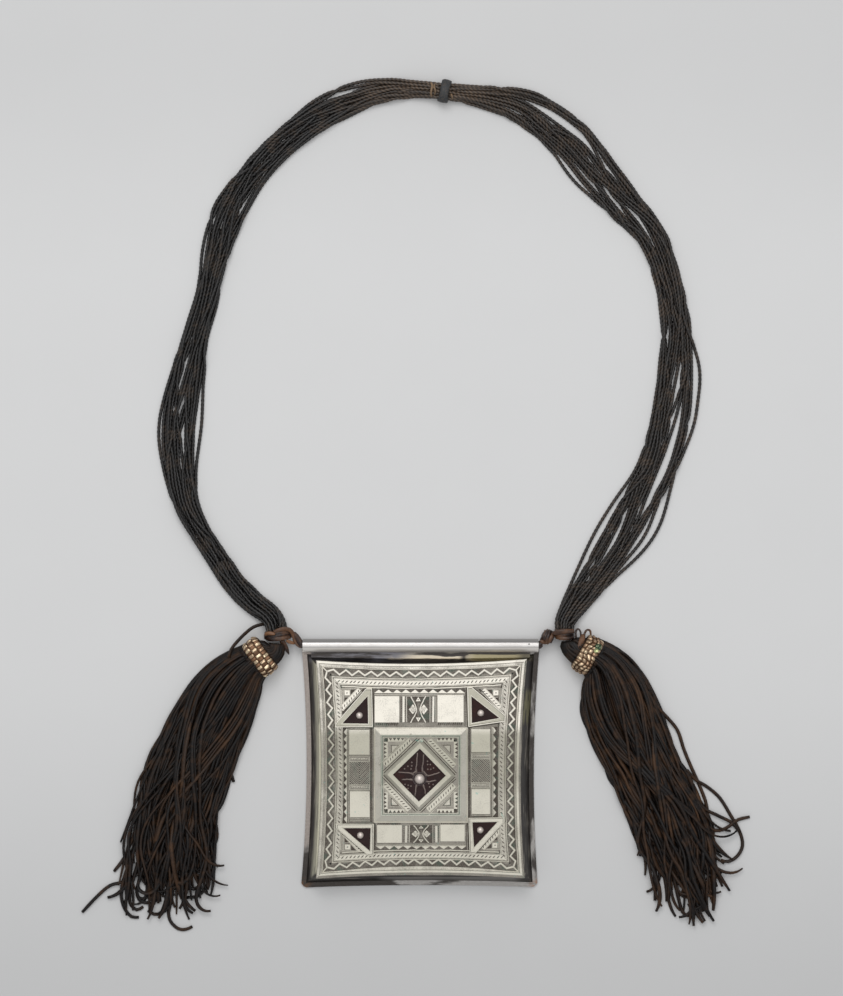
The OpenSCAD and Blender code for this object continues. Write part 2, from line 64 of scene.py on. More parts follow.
def unit(v: Array) -> Array:
    """Vectors divided by their lengths, along the last axis."""
    return v / np.maximum(np.linalg.norm(v, axis=-1, keepdims=True), 1e-9)


def ease(x: Array) -> Array:
    """Smooth step from 0 to 1: 3x² - 2x³ of x held between 0 and 1."""
    x = np.clip(x, 0.0, 1.0)
    return x * x * (3.0 - 2.0 * x)


def smooth_rows(rows: Array, step: float) -> Array:
    """Eases a table of stations and spaces its rows evenly.

    Between rows b and c of a, b, c, d the value is the Catmull-Rom cubic
    (2b + (c-a)t + (2a-5b+4c-d)t² + (3b-a-3c+d)t³) / 2. The dense rows are then read off at
    equal steps of plan length.

    Args:
        rows: One station a row, with x and y in its first two columns.
        step: Spacing of the new rows.

    Returns:
        The same columns at even spacing.
    """
    p = np.vstack([rows[:1], rows, rows[-1:]])
    t = np.linspace(0.0, 1.0, 16, endpoint=False)[None, :, None]
    a, b, c, d = (p[i : len(p) - 3 + i, None, :] for i in range(4))
    dense = 0.5 * (2 * b + (c - a) * t + (2 * a - 5 * b + 4 * c - d) * t**2 + (3 * b - a - 3 * c + d) * t**3)
    return even(np.vstack([dense.reshape(-1, rows.shape[1]), rows[-1:]]), step)


def travelled(points: Array) -> Array:
    """Length of a path from its first point to each of its points."""
    return np.concatenate([[0.0], np.cumsum(np.linalg.norm(np.diff(points, axis=0), axis=1))])


def read_off(table: Array, run: Array, at: Array) -> Array:
    """Columns of a table, whose rows are at the lengths run, at other lengths."""
    return np.stack([np.interp(at, run, column) for column in table.T], axis=1)


def facing(degrees: float) -> tuple[Array, Array]:
    """Unit vectors along a direction in plan, and to its left."""
    h = math.radians(degrees)
    return np.array([math.cos(h), math.sin(h), 0.0]), np.array([-math.sin(h), math.cos(h), 0.0])


def even(rows: Array, step: float) -> Array:
    """Reads a table of stations off at equal steps of length in plan.

    Args:
        rows: One station a row, with x and y in its first two columns.
        step: Spacing of the new rows.

    Returns:
        The table with its rows about one step apart.
    """
    run = travelled(rows[:, :2])
    at = np.linspace(0.0, run[-1], max(2, round(run[-1] / step) + 1))
    return read_off(rows, run, at)


def across(path: Array) -> Array:
    """Unit vectors to the left of a plan path of shape (n, 2) at each of its points."""
    t = unit(np.gradient(path, axis=0))
    return np.stack([-t[:, 1], t[:, 0]], axis=1)


def drift(rng: np.random.Generator, count: int, run: Array, lengths: Pair) -> Array:
    """Slow wandering numbers about 0, one column for each strand.

    Each is the sum of two sines of the length run, of seeded wave lengths and phases.

    Args:
        rng: Seeded source of numbers.
        count: Number of columns.
        run: Length along the piece.
        lengths: Shortest and longest wave length.

    Returns:
        Numbers between -1 and 1 of shape (len(run), count).
    """
    wave = rng.uniform(*lengths, (2, count))
    phase = rng.uniform(0.0, 2.0 * math.pi, (2, count))
    turns = 2.0 * math.pi * run[:, None] / wave[:, None, :] + phase[:, None, :]
    return 0.5 * np.sin(turns[0]) + 0.5 * np.sin(turns[1])


def settle(
    u: Array, z: Array, low: Array, d: float, weight: float, pull: float, rounds: int
) -> tuple[Array, Array]:
    """Lets round strands settle against each other in every cross section.

    In each round a pair nearer than d is pushed apart along the line between them by its
    share of the overlap, each strand goes a little way to its aim and down by its weight, it
    is averaged with its neighbours along the run, and it is kept on or above low + d/2.

    Args:
        u: Sideways aims, of shape (stations, strands).
        z: Heights to start from, of the same shape.
        low: Height of what the strands lie on, one for each station.
        d: Diameter of a strand.
        weight: How far a strand sinks in a round.
        pull: Share of the way to its sideways aim that a strand goes in a round.
        rounds: Number of rounds.

    Returns:
        Sideways places and heights.
    """
    aim, floor = u.copy(), (low + d / 2)[:, None]
    u, z = u.copy(), np.maximum(z, floor)
    for _ in range(rounds):
        du = u[:, :, None] - u[:, None, :]
        dz = z[:, :, None] - z[:, None, :]
        far = np.sqrt(du * du + dz * dz)
        push = np.where((far < d) & (far > 1e-6), (d - far) / np.maximum(far, 0.05), 0.0) * 0.28
        u = u + (push * du).sum(axis=2) + (aim - u) * pull
        z = z + (push * dz).sum(axis=2) - weight
        u[1:-1] = 0.5 * u[1:-1] + 0.25 * (u[:-2] + u[2:])
        z[1:-1] = 0.5 * z[1:-1] + 0.25 * (z[:-2] + z[2:])
        z = np.maximum(z, floor)
    return u, z


# Shells: meshes put together from whole arrays


@dataclass
class Shell:
    """Vertices and faces of one piece that is being put together, in millimetres.

    Attributes:
        points: Arrays of vertices.
        faces: Arrays of faces, each row the vertex numbers of one face.
        tones: Brightness of each vertex, 0 in a groove and 1 rubbed bright; on some pieces it also holds
            painted shade and painted highlights.
        tints: Place of each vertex between the finish's two colours.
        count: Number of vertices so far.
    """

    points: list[Array] = field(default_factory=list)
    faces: list[NDArray[np.int64]] = field(default_factory=list)
    tones: list[Array] = field(default_factory=list)
    tints: list[Array] = field(default_factory=list)
    count: int = 0

    def add(
        self, points: Array, faces: list[NDArray[np.int64]], tone: float | Array = 1.0,
        tint: float | Array = 0.0,
    ) -> None:
        """Adds vertices and the faces between them.

        Args:
            points: Vertices of shape (..., 3).
            faces: Arrays of faces that count from the first of these vertices.
            tone: Brightness, one number or one for each vertex.
            tint: Colour place, one number or one for each vertex.
        """
        shape = points.shape[:-1]
        self.points.append(points.reshape(-1, 3))
        self.faces.extend(f + self.count for f in faces if len(f))
        self.tones.append(np.broadcast_to(tone, shape).reshape(-1).astype(float))
        self.tints.append(np.broadcast_to(tint, shape).reshape(-1).astype(float))
        self.count += int(np.prod(shape))

    def add_tubes(self, rings: Array, tone: float | Array = 1.0, tint: float | Array = 0.0) -> None:
        """Adds closed tubes with flat ends.

        Args:
            rings: Ring points of shape (tubes, stations, sides, 3), counter-clockwise seen
                from the far end.
            tone: Brightness that broadcasts to (tubes, stations, sides).
            tint: Colour place that broadcasts to the same shape.
        """
        k, n, m, _ = rings.shape
        ids = np.arange(k * n * m).reshape(k, n, m)
        turn = np.roll(ids, -1, axis=2)
        walls = np.stack([ids[:, :-1], turn[:, :-1], turn[:, 1:], ids[:, 1:]], axis=-1).reshape(-1, 4)
        self.add(rings, [walls, ids[:, 0, ::-1], ids[:, -1, :]], tone, tint)

    def add_loop_grid(self, grid: Array, tone: float | Array = 1.0, tint: float | Array = 0.0) -> None:
        """Adds a surface that closes on itself both ways, such as a ring.

        Args:
            grid: Points of shape (rows, columns, 3), rows then columns turning outwards.
            tone: Brightness that broadcasts to (rows, columns).
            tint: Colour place that broadcasts to the same shape.
        """
        n, m, _ = grid.shape
        ids = np.arange(n * m).reshape(n, m)
        right, up = np.roll(ids, -1, axis=1), np.roll(ids, -1, axis=0)
        self.add(
            grid, [np.stack([ids, up, np.roll(up, -1, axis=1), right], axis=-1).reshape(-1, 4)], tone, tint
        )

    def piece(self, name: str, finish: bpy.types.Material, smooth: bool = True) -> bpy.types.Object:
        """Makes the Blender object, at the origin and in metres.

        Args:
            name: Name of the piece.
            finish: Its material.
            smooth: Whether its faces are shaded smooth.

        Returns:
            The object, which rides on the root body.
        """
        mesh = bpy.data.meshes.new(name)
        points = np.concatenate(self.points) * MM
        corners = np.concatenate([f.reshape(-1) for f in self.faces])
        sizes = np.concatenate([np.full(len(f), f.shape[1]) for f in self.faces])
        mesh.vertices.add(len(points))
        mesh.vertices.foreach_set("co", points.reshape(-1))
        mesh.loops.add(len(corners))
        mesh.loops.foreach_set("vertex_index", corners.astype(np.int32))
        mesh.polygons.add(len(sizes))
        mesh.polygons.foreach_set("loop_start", (np.cumsum(sizes) - sizes).astype(np.int32))
        mesh.polygons.foreach_set("use_smooth", np.full(len(sizes), smooth))
        mesh.update(calc_edges=True)
        for label, values in (("tone", self.tones), ("tint", self.tints)):
            mesh.attributes.new(label, "FLOAT", "POINT").data.foreach_set("value", np.concatenate(values))
        mesh.materials.append(finish)
        piece = bpy.data.objects.new(name, mesh)
        bpy.context.scene.collection.objects.link(piece)
        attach(piece, "root")
        log.info("%s: %d vertices, %d faces", name, len(points), len(sizes))
        return piece


def swept(
    paths: Array,
    ups: Array,
    wide: Array | float,
    thick: Array | float,
    sides: int,
    roll: Array | float = 0.0,
    swell: Array | float = 1.0,
    square: float = 1.0,
) -> Array:
    """Rings of a section carried along each path.

    With a = up x tangent and b = tangent x a, both turned by roll, ring point j is
    p + swell (wide/2 c_j a + thick/2 s_j b), where c and s are cos and sin of 2 pi j / sides,
    each raised to the power square with its sign kept.

    Args:
        paths: Stations of shape (tubes, stations, 3).
        ups: Directions that the flat side faces, broadcast to the same shape.
        wide: Width, which broadcasts to (tubes, stations).
        thick: Thickness, of the same shape.
        sides: Number of points of a ring.
        roll: Turn of the section in radians, of the same shape.
        swell: Factor on the radius, which broadcasts to (tubes, stations, sides).
        square: 1 for an oval section, less for a squarer one.

    Returns:
        Points of shape (tubes, stations, sides, 3).
    """
    shape = paths.shape[:2]
    t = unit(np.gradient(paths, axis=1))
    a = unit(np.cross(np.broadcast_to(ups, paths.shape), t))
    b = np.cross(t, a)
    cr, sr = (f(np.broadcast_to(roll, shape))[..., None] for f in (np.cos, np.sin))
    a, b = a * cr + b * sr, b * cr - a * sr
    turn = 2.0 * math.pi * (np.arange(sides) + 0.5) / sides
    c, s = (np.sign(f) * np.abs(f) ** square for f in (np.cos(turn), np.sin(turn)))
    wide = np.broadcast_to(wide, shape)[..., None, None] / 2
    thick = np.broadcast_to(thick, shape)[..., None, None] / 2
    arm = wide * c[:, None] * a[:, :, None] + thick * s[:, None] * b[:, :, None]
    return paths[:, :, None] + arm * np.broadcast_to(swell, (*shape, sides))[..., None]


# Finishes


class Graph:
    """A material's node tree, with short ways to add the nodes that the finishes share."""

    def __init__(self, name: str) -> None:
        """Makes an empty material with a Principled shader.

        Args:
            name: Name of the material.
        """
        self.material = bpy.data.materials.new(name)
        self.material.use_nodes = True
        self.tree = self.material.node_tree
        self.tree.nodes.clear()
        out = self.node("ShaderNodeOutputMaterial")
        self.shader = self.node("ShaderNodeBsdfPrincipled")
        self.tree.links.new(self.shader.outputs["BSDF"], out.inputs["Surface"])
        self.place = self.node("ShaderNodeTexCoord").outputs["Object"]

    def node(self, kind: str, **values: object) -> bpy.types.Node:
        """Adds a node.

        Args:
            kind: Blender's name of the node type.
            **values: Its properties by name.

        Returns:
            The node.
        """
        made = self.tree.nodes.new(kind)
        for key, value in values.items():
            setattr(made, key, value)
        return made

    def wire(self, value: object, socket: bpy.types.NodeSocket) -> None:
        """Links a socket to another, or sets it to a plain value.

        Args:
            value: Output socket, number, or colour without its alpha.
            socket: Input socket.
        """
        if isinstance(value, bpy.types.NodeSocket):
            self.tree.links.new(value, socket)
        elif isinstance(value, tuple) and len(value) == 3 and len(socket.default_value) == 4:
            socket.default_value = (*value, 1.0)
        else:
            socket.default_value = value

    def attribute(self, name: str) -> bpy.types.NodeSocket:
        """Number kept at each vertex under that name."""
        return self.node("ShaderNodeAttribute", attribute_name=name).outputs["Fac"]

    def calc(self, how: str, *values: object, clamp: bool = False) -> bpy.types.NodeSocket:
        """Adds a Math node.

        Args:
            how: Its operation.
            *values: Numbers or sockets that it works on.
            clamp: Whether its result is held between 0 and 1.

        Returns:
            The result.
        """
        made = self.node("ShaderNodeMath", operation=how, use_clamp=clamp)
        for value, socket in zip(values, made.inputs):
            self.wire(value, socket)
        return made.outputs[0]

    def times(self, first: object, *others: object) -> object:
        """Multiplies numbers or sockets from left to right.

        Args:
            first: First of them.
            *others: The rest.

        Returns:
            Their product.
        """
        made = first
        for value in others:
            made = self.calc("MULTIPLY", made, value)
        return made

    def off(self, value: object, at: object) -> bpy.types.NodeSocket:
        """Distance of a number from another, without its sign."""
        return self.calc("ABSOLUTE", self.calc("SUBTRACT", value, at))

    def fit(
        self, value: object, low: object, high: object, to: Pair = (0.0, 1.0)
    ) -> bpy.types.NodeSocket:
        """Smooth step of a number from one range to another.

        Args:
            value: The number.
            low: Value that becomes the first of to.
            high: Value that becomes the second of to. It may be the smaller of the two.
            to: Range of the result.

        Returns:
            The result.
        """
        made = self.node("ShaderNodeMapRange", interpolation_type="SMOOTHSTEP")
        for part, socket in zip((value, low, high, *to), made.inputs):
            self.wire(part, socket)
        return made.outputs[0]

    def noise(
        self, size: float, detail: float = 3.0, rough: float = 0.55, stretch: Triple | None = None
    ) -> bpy.types.NodeSocket:
        """Noise on Object coordinates.

        Args:
            size: Size of its spots in millimetres.
            detail: Number of octaves.
            rough: Weight of the finer octaves.
            stretch: Factors on x, y and z, for spots that are drawn out.

        Returns:
            The noise, from 0 to 1.
        """
        made = self.node("ShaderNodeTexNoise")
        place = self.place
        if stretch:
            turned = self.node("ShaderNodeMapping")
            self.wire(place, turned.inputs["Vector"])
            turned.inputs["Scale"].default_value = stretch
            place = turned.outputs[0]
        self.wire(place, made.inputs["Vector"])
        for label, value in (("Scale", 1.0 / (size * MM)), ("Detail", detail), ("Roughness", rough)):
            made.inputs[label].default_value = value
        return made.outputs["Fac"]

    def axes(self) -> tuple[bpy.types.NodeSocket, ...]:
        """Object coordinates as three numbers, in metres.

        Returns:
            X, y and z.
        """
        made = self.node("ShaderNodeSeparateXYZ")
        self.wire(self.place, made.inputs[0])
        return tuple(made.outputs)

    def mix(self, share: object, a: object, b: object, how: str = "MIX") -> bpy.types.NodeSocket:
        """Turns a colour or number to another by a share.

        Args:
            share: 0 for the first and 1 for the second.
            a: First colour.
            b: Second colour.
            how: Way of mixing.

        Returns:
            The mixed colour.
        """
        made = self.node("ShaderNodeMix", data_type="RGBA", blend_type=how)
        for value, index in ((share, 0), (a, 6), (b, 7)):
            self.wire(value, made.inputs[index])
        return made.outputs[2]

    def streaks(self, size: float, rough: float, squeeze: float) -> tuple[object, object]:
        """Noise that is drawn out along each side of the case.

        Args:
            size: Width of a streak in millimetres.
            rough: Weight of the finer octaves.
            squeeze: Width of a streak as a share of its length.

        Returns:
            1 on the upper and lower sides and 0 on the other two, and the noise.
        """
        x, y = self.axes()[:2]
        ends = self.fit(
            self.calc("SUBTRACT", self.calc("ABSOLUTE", y), self.calc("ABSOLUTE", x)), -0.001, 0.001
        )
        level = self.noise(size, 4.0, rough, (1.0, squeeze, 1.0))
        upright = self.noise(size, 4.0, rough, (squeeze, 1.0, 1.0))
        return ends, self.mix(ends, level, upright)

    def finish(
        self, colour: object, rough: object, height: object = None, depth: float = 0.0, **values: object
    ) -> bpy.types.Material:
        """Wires the shader.

        Args:
            colour: Base colour.
            rough: Roughness.
            height: Height for the bump, from 0 to 1.
            depth: What a height of 1 stands for, in millimetres.
            **values: Plain values for other sockets, with _ for each space in their names.

        Returns:
            The material.
        """
        self.wire(colour, self.shader.inputs["Base Color"])
        self.wire(rough, self.shader.inputs["Roughness"])
        for label, value in values.items():
            self.wire(value, self.shader.inputs[label.replace("_", " ")])
        if height is not None:
            bump = self.node("ShaderNodeBump")
            self.wire(height, bump.inputs["Height"])
            bump.inputs["Distance"].default_value = depth * MM
            self.wire(bump.outputs[0], self.shader.inputs["Normal"])
        return self.material


@dataclass(frozen=True)
class Leather:
    """Oiled leather, darkened by handling.

    Attributes:
        name: Name of the material.
        dark: Colour of the darkest places.
        base: Colour where tint is 0.
        worn: Colour where tint is 1.
        rough: Roughness of its smoother places.
        grain: Size of the grain in millimetres.
        relief: Depth of the grain in millimetres.
        shine: Strength of its reflection.
    """

    name: str
    dark: Triple
    base: Triple
    worn: Triple
    rough: float = 0.42
    grain: float = 0.5
    relief: float = 0.12
    shine: float = 0.55

    def material(self, kept: bool = True) -> bpy.types.Material:
        """Colour runs from base to worn with the tint, and to dark where the tone is low.

        Args:
            kept: Whether the piece keeps its tone and tint at its vertices; a CAD node
                doesn't.

        Returns:
            The material.
        """
        g = Graph(self.name)
        patches, grain = g.noise(5.0), g.noise(self.grain, 4.0, 0.65)
        tint = g.fit(patches, 0.45, 0.7, (-0.12, 0.3))
        shade = g.fit(grain, 0.3, 0.5, (0.6, 1.0))
        if kept:
            tint = g.calc("ADD", g.attribute("tint"), tint, clamp=True)
            shade = g.calc("MULTIPLY", g.attribute("tone"), shade, clamp=True)
        colour = g.mix(tint, self.base, self.worn)
        colour = g.mix(g.fit(grain, 0.5, 0.72, (0.0, 0.25)), colour, self.worn)
        colour = g.mix(shade, self.dark, colour)
        rough = g.fit(patches, 0.3, 0.7, (self.rough, self.rough + 0.2))
        return g.finish(colour, rough, grain, self.relief, Specular_IOR_Level=self.shine)


@dataclass(frozen=True)
class Silver:
    """Silver that has darkened in its grooves and is rubbed bright on its high places, with a painted
    highlight on the upper part of the face.

    Attributes:
        name: Name of the material.
        bright: Colour where it is rubbed.
        dull: Colour of its open grounds.
        dark: Colour of the deepest tarnish.
        lit_colour: Colour of the painted highlight on the upper part of the face and on the slopes of the
            raised square; it is also mixed in more faintly below y = -12 mm.
        rough: Roughness where it is rubbed.
        metal: Share of metallic reflection under the tarnish.
    """

    name: str
    bright: Triple
    dull: Triple
    dark: Triple
    lit_colour: Triple
    rough: float = 0.44
    metal: float = 0.6

    def tarnished(
        self, g: Graph, tone: object, spare: object = 0.0, lift: object = 0.0
    ) -> bpy.types.Material:
        """Colours the metal by its tone.

        It takes a painted highlight above y = 19 mm, which stands for light from above, and is brightened
        more faintly below y = -12 mm. Places of low tone have dark green stains, and small green spots lie
        anywhere.

        Args:
            g: Graph to work in.
            tone: Number from 0, deepest tarnish, through 0.5, dull, to 1, bright.
            spare: Share by which a place is kept out of the painted highlight above y = 19 mm.
            lift: Share of the painted highlight that a place takes anywhere.

        Returns:
            The material.
        """
        fine, cloud = g.noise(0.45, 3.0, 0.6), g.noise(6.0, 4.0, 0.6)
        wander = g.calc("ADD", g.fit(fine, 0.3, 0.7, (-0.1, 0.1)), g.fit(cloud, 0.3, 0.7, (-0.08, 0.08)))
        tone = g.calc("ADD", tone, wander, clamp=True)
        # Painted highlight: the upper part of the face is made brighter for light from above; the lower part
        # is brightened more faintly.
        low = g.fit(g.axes()[1], -0.004, -0.012, (0.0, 0.38))
        upper = g.times(g.fit(g.axes()[1], 0.0135, 0.019), g.calc("SUBTRACT", 1.0, spare))
        colour = g.mix(g.fit(tone, 0.0, 0.5), self.dark, self.dull)
        rubbed = g.mix(g.calc("MAXIMUM", g.calc("MAXIMUM", upper, low), lift), self.bright, self.lit_colour)
        colour = g.mix(g.fit(tone, 0.45, 0.95), colour, rubbed)
        green = g.times(g.fit(g.noise(1.6, 2.0, 0.5), 0.72, 0.76), 0.45)
        green = g.calc("MAXIMUM", green, g.attribute("tint"))
        stain = g.times(g.fit(g.noise(5.0, 2.0), 0.54, 0.66, (0.0, 0.4)), g.fit(tone, 0.5, 0.3))
        colour = g.mix(stain, colour, (0.08, 0.145, 0.11))
        colour = g.mix(green, colour, (0.10, 0.42, 0.36))
        rough = g.fit(tone, 0.2, 0.9, (self.rough + 0.2, self.rough))
        return g.finish(colour, rough, fine, 0.02, Metallic=self.metal)

    def worked(self) -> bpy.types.Material:
        """The finish for a new piece, which keeps its tone at each vertex."""
        g = Graph(self.name)
        return self.tarnished(g, g.attribute("tone"))


# Leather pieces


@dataclass
class NeckCords:
    """The necklace: leather strands side by side, each from one hitch to the other.

    Attributes:
        left: The route from the left hitch up to the top wrap, in metres: x, y, width of the
            bundle, and lift of its underside.
        right: The route from the right hitch up to the top wrap, with the same columns.
        strays: Strands that leave the bundle: rank from the inner edge, the plan point of
            their furthest place in millimetres, and the half length of their stray.
        strands: Number of strands.
        strand_d: Diameter of a strand in millimetres.
        tuck: How far the strands run on into the hitches.
        pitch: Length of one turn of a strand's two plies.
        seed: Seed of their wandering.
    """

    left: tuple[Four, ...] = (
        (-0.0606, 0.0586, 0.009, 0.0014), (-0.0614, 0.0614, 0.0094, 0.0009),
        (-0.0642, 0.0652, 0.0098, 0.0003), (-0.071, 0.07, 0.0098, 0), (-0.079, 0.0784, 0.0094, 0),
        (-0.087, 0.09, 0.009, 0), (-0.094, 0.101, 0.0096, 0), (-0.0994, 0.113, 0.0114, 0),
        (-0.1018, 0.129, 0.0136, 0), (-0.1014, 0.148, 0.0154, 0), (-0.0978, 0.169, 0.014, 0),
        (-0.094, 0.185, 0.011, 0), (-0.0892, 0.202, 0.0096, 0), (-0.0852, 0.217, 0.0106, 0),
        (-0.0796, 0.233, 0.0128, 0), (-0.07, 0.2496, 0.0116, 0), (-0.0566, 0.264, 0.0118, 0),
        (-0.039, 0.276, 0.0126, 0), (-0.019, 0.2842, 0.0098, 0), (-0.004, 0.2858, 0.0072, 0.0005),
        (0.01, 0.2845, 0.0064, 0.0011),
    )
    right: tuple[Four, ...] = (
        (0.0606, 0.0591, 0.008, 0.0014), (0.0613, 0.0626, 0.0092, 0.0009), (0.067, 0.0716, 0.012, 0),
        (0.076, 0.0844, 0.014, 0), (0.0844, 0.098, 0.015, 0), (0.0914, 0.111, 0.0162, 0),
        (0.0994, 0.126, 0.0168, 0), (0.1046, 0.142, 0.0174, 0), (0.107, 0.159, 0.0172, 0),
        (0.1076, 0.175, 0.0154, 0), (0.1068, 0.191, 0.0134, 0), (0.1034, 0.208, 0.0118, 0),
        (0.097, 0.224, 0.0126, 0), (0.0854, 0.2376, 0.016, 0), (0.0746, 0.2504, 0.0172, 0),
        (0.063, 0.2648, 0.0176, 0), (0.046, 0.2768, 0.0162, 0), (0.03, 0.2816, 0.0112, 0.0001),
        (0.019, 0.2834, 0.0072, 0.0008), (0.0103, 0.2845, 0.0064, 0.0011),
    )
    strays: tuple[Stray, ...] = (
        (15, -110.5, 140, 30), (0, -92.3, 143, 38), (14, -108, 143, 22), (1, -96.2, 138, 24),
        (1, -86.0, 196, 16), (14, -90.8, 224, 28), (13, -85, 240, 24), (15, -29, 288, 24),
        (13, -42, 282.6, 24), (15, 116.6, 154, 34), (14, 100.6, 101, 42), (13, 95.4, 99, 26),
        (0, 73.4, 99, 40), (15, 117, 172, 20), (1, 62, 250, 26),
    )
    strands: int = 16
    strand_d: float = 1.45
    tuck: float = 2.6
    pitch: float = 3.7
    seed: int = 11

    def stations(self) -> Array:
        """The whole route in millimetres at even steps, run on at both ends by the tuck.

        Returns:
            Rows of x, y, width and lift of the underside.
        """
        rows = np.array(self.left + self.right[::-1]) / MM
        step = 1.3
        rows = smooth_rows(rows, step)
        ends = rows[[0, -1]] + (rows[[0, -1]] - rows[[1, -2]]) * (self.tuck / step)
        return np.vstack([ends[:1], rows, ends[1:]])

    def lanes(self, rows: Array) -> Array:
        """Sideways aim of each strand at each station.

        The strands share the width evenly and drift slowly between their places. A stray
        goes from there to its furthest point and back by a squared cosine of the length.

        Args:
            rows: Stations, as stations() gives them.

        Returns:
            Offsets to the outside of the necklace, of shape (stations, strands).
        """
        rng = np.random.default_rng(self.seed)
        run = travelled(rows[:, :2])
        base = (np.arange(self.strands) + 0.5) / self.strands * 2 - 1
        lane = base + 0.55 * drift(rng, self.strands, run, (60.0, 200.0))
        lane = np.tanh(lane * 1.25) / math.tanh(1.25)
        half = (rows[:, 2:3] * 0.9 - self.strand_d) / 2
        aims = np.clip(lane, -1.0, 1.0) * half
        side = across(rows[:, :2])
        for rank, x, y, reach in self.strays:
            away = rows[:, :2] - (x, y)
            near = int(np.argmin((away**2).sum(axis=1)))
            push = float(-away[near] @ side[near])
            share = np.cos(np.clip((run - run[near]) / reach, -1.0, 1.0) * math.pi / 2) ** 2
            aims[:, rank] += (push - aims[near, rank]) * share
        return aims

    def paths(self) -> Array:
        """Centre lines of the strands.

        Each strand is laid in a seeded order on those already laid: its height is the
        greatest of the surface and of sqrt(d² - du²) above each strand that it crosses. They
        then settle.

        Returns:
            Points of shape (strands, stations, 3).
        """
        rows = self.stations()
        aims, d = self.lanes(rows), self.strand_d
        order = np.random.default_rng(self.seed + 1).permutation(self.strands)
        z = np.repeat(rows[:, 3:4] + d / 2, self.strands, axis=1)
        for place in range(1, self.strands):
            me, laid = order[place], order[:place]
            apart = np.abs(aims[:, [me]] - aims[:, laid])
            over = np.where(apart < d, z[:, laid] + np.sqrt(np.maximum(d * d - apart * apart, 0.0)), 0.0)
            z[:, me] = np.maximum(z[:, me], over.max(axis=1))
        tall = np.clip(46.0 / rows[:, 2], 2.6, 5.2)[:, None] - d / 2 + rows[:, 3:4]
        u, z = settle(aims, np.minimum(z, tall), rows[:, 3], d * 0.98, 0.04, 0.05, 70)
        plan = rows[:, None, :2] + across(rows[:, :2])[:, None] * u[..., None]
        return np.concatenate([plan, z[..., None]], axis=2).transpose(1, 0, 2)

    def build(self, finish: bpy.types.Material) -> list[bpy.types.Object]:
        """The section is two overlapping circles, of radius 0.72 r and 0.28 r off the middle:
        r (0.28 |cos e| + sqrt(0.72² - 0.28² sin² e)), where e is the angle round the strand
        less one turn in a pitch of length. The strands are browner at the top of the loop and
        towards its right side.

        Args:
            finish: Material of the strands.

        Returns:
            The strands.
        """
        rng = np.random.default_rng(self.seed + 2)
        made = []
        for number, path in enumerate(self.paths()):
            run = travelled(path)
            at = np.linspace(0.0, run[-1], round(run[-1] / 0.42))
            line = read_off(path, run, at)
            turn = (np.arange(8) + 0.5)[None, :] / 8 - at[:, None] / self.pitch
            turn = 2.0 * math.pi * turn + rng.uniform(0, 6)
            ply_shade = np.cos(2.0 * turn)
            swell = 0.28 * np.abs(np.cos(turn)) + np.sqrt(0.72**2 - (0.28 * np.sin(turn)) ** 2)
            wide = self.strand_d * 1.06
            rings = swept(line[None], UP, wide, wide, 8, swell=swell[None])
            worn = 0.5 + 0.5 * drift(rng, 1, at, (9.0, 60.0))
            top = np.exp(-(((line[:, :1] - 5.0) / 34.0) ** 2)) * (line[:, 1:2] > 200)
            shell = Shell()
            tint = 0.16 * worn * rng.uniform(0.0, 1.2) + rng.uniform(0.3, 1.0) * top
            tint = tint + 0.16 * np.clip(line[:, :1] / 70.0, 0.0, 1.0)
            # The tone darkens the creases between the plies: painted shade.
            shell.add_tubes(rings, (0.58 + 0.42 * ply_shade)[None], tint[None])
            piece = shell.piece(f"cord_{number + 1:02d}", finish)
            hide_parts("cords_left", "cords_right")
            made.append(piece)
        return made


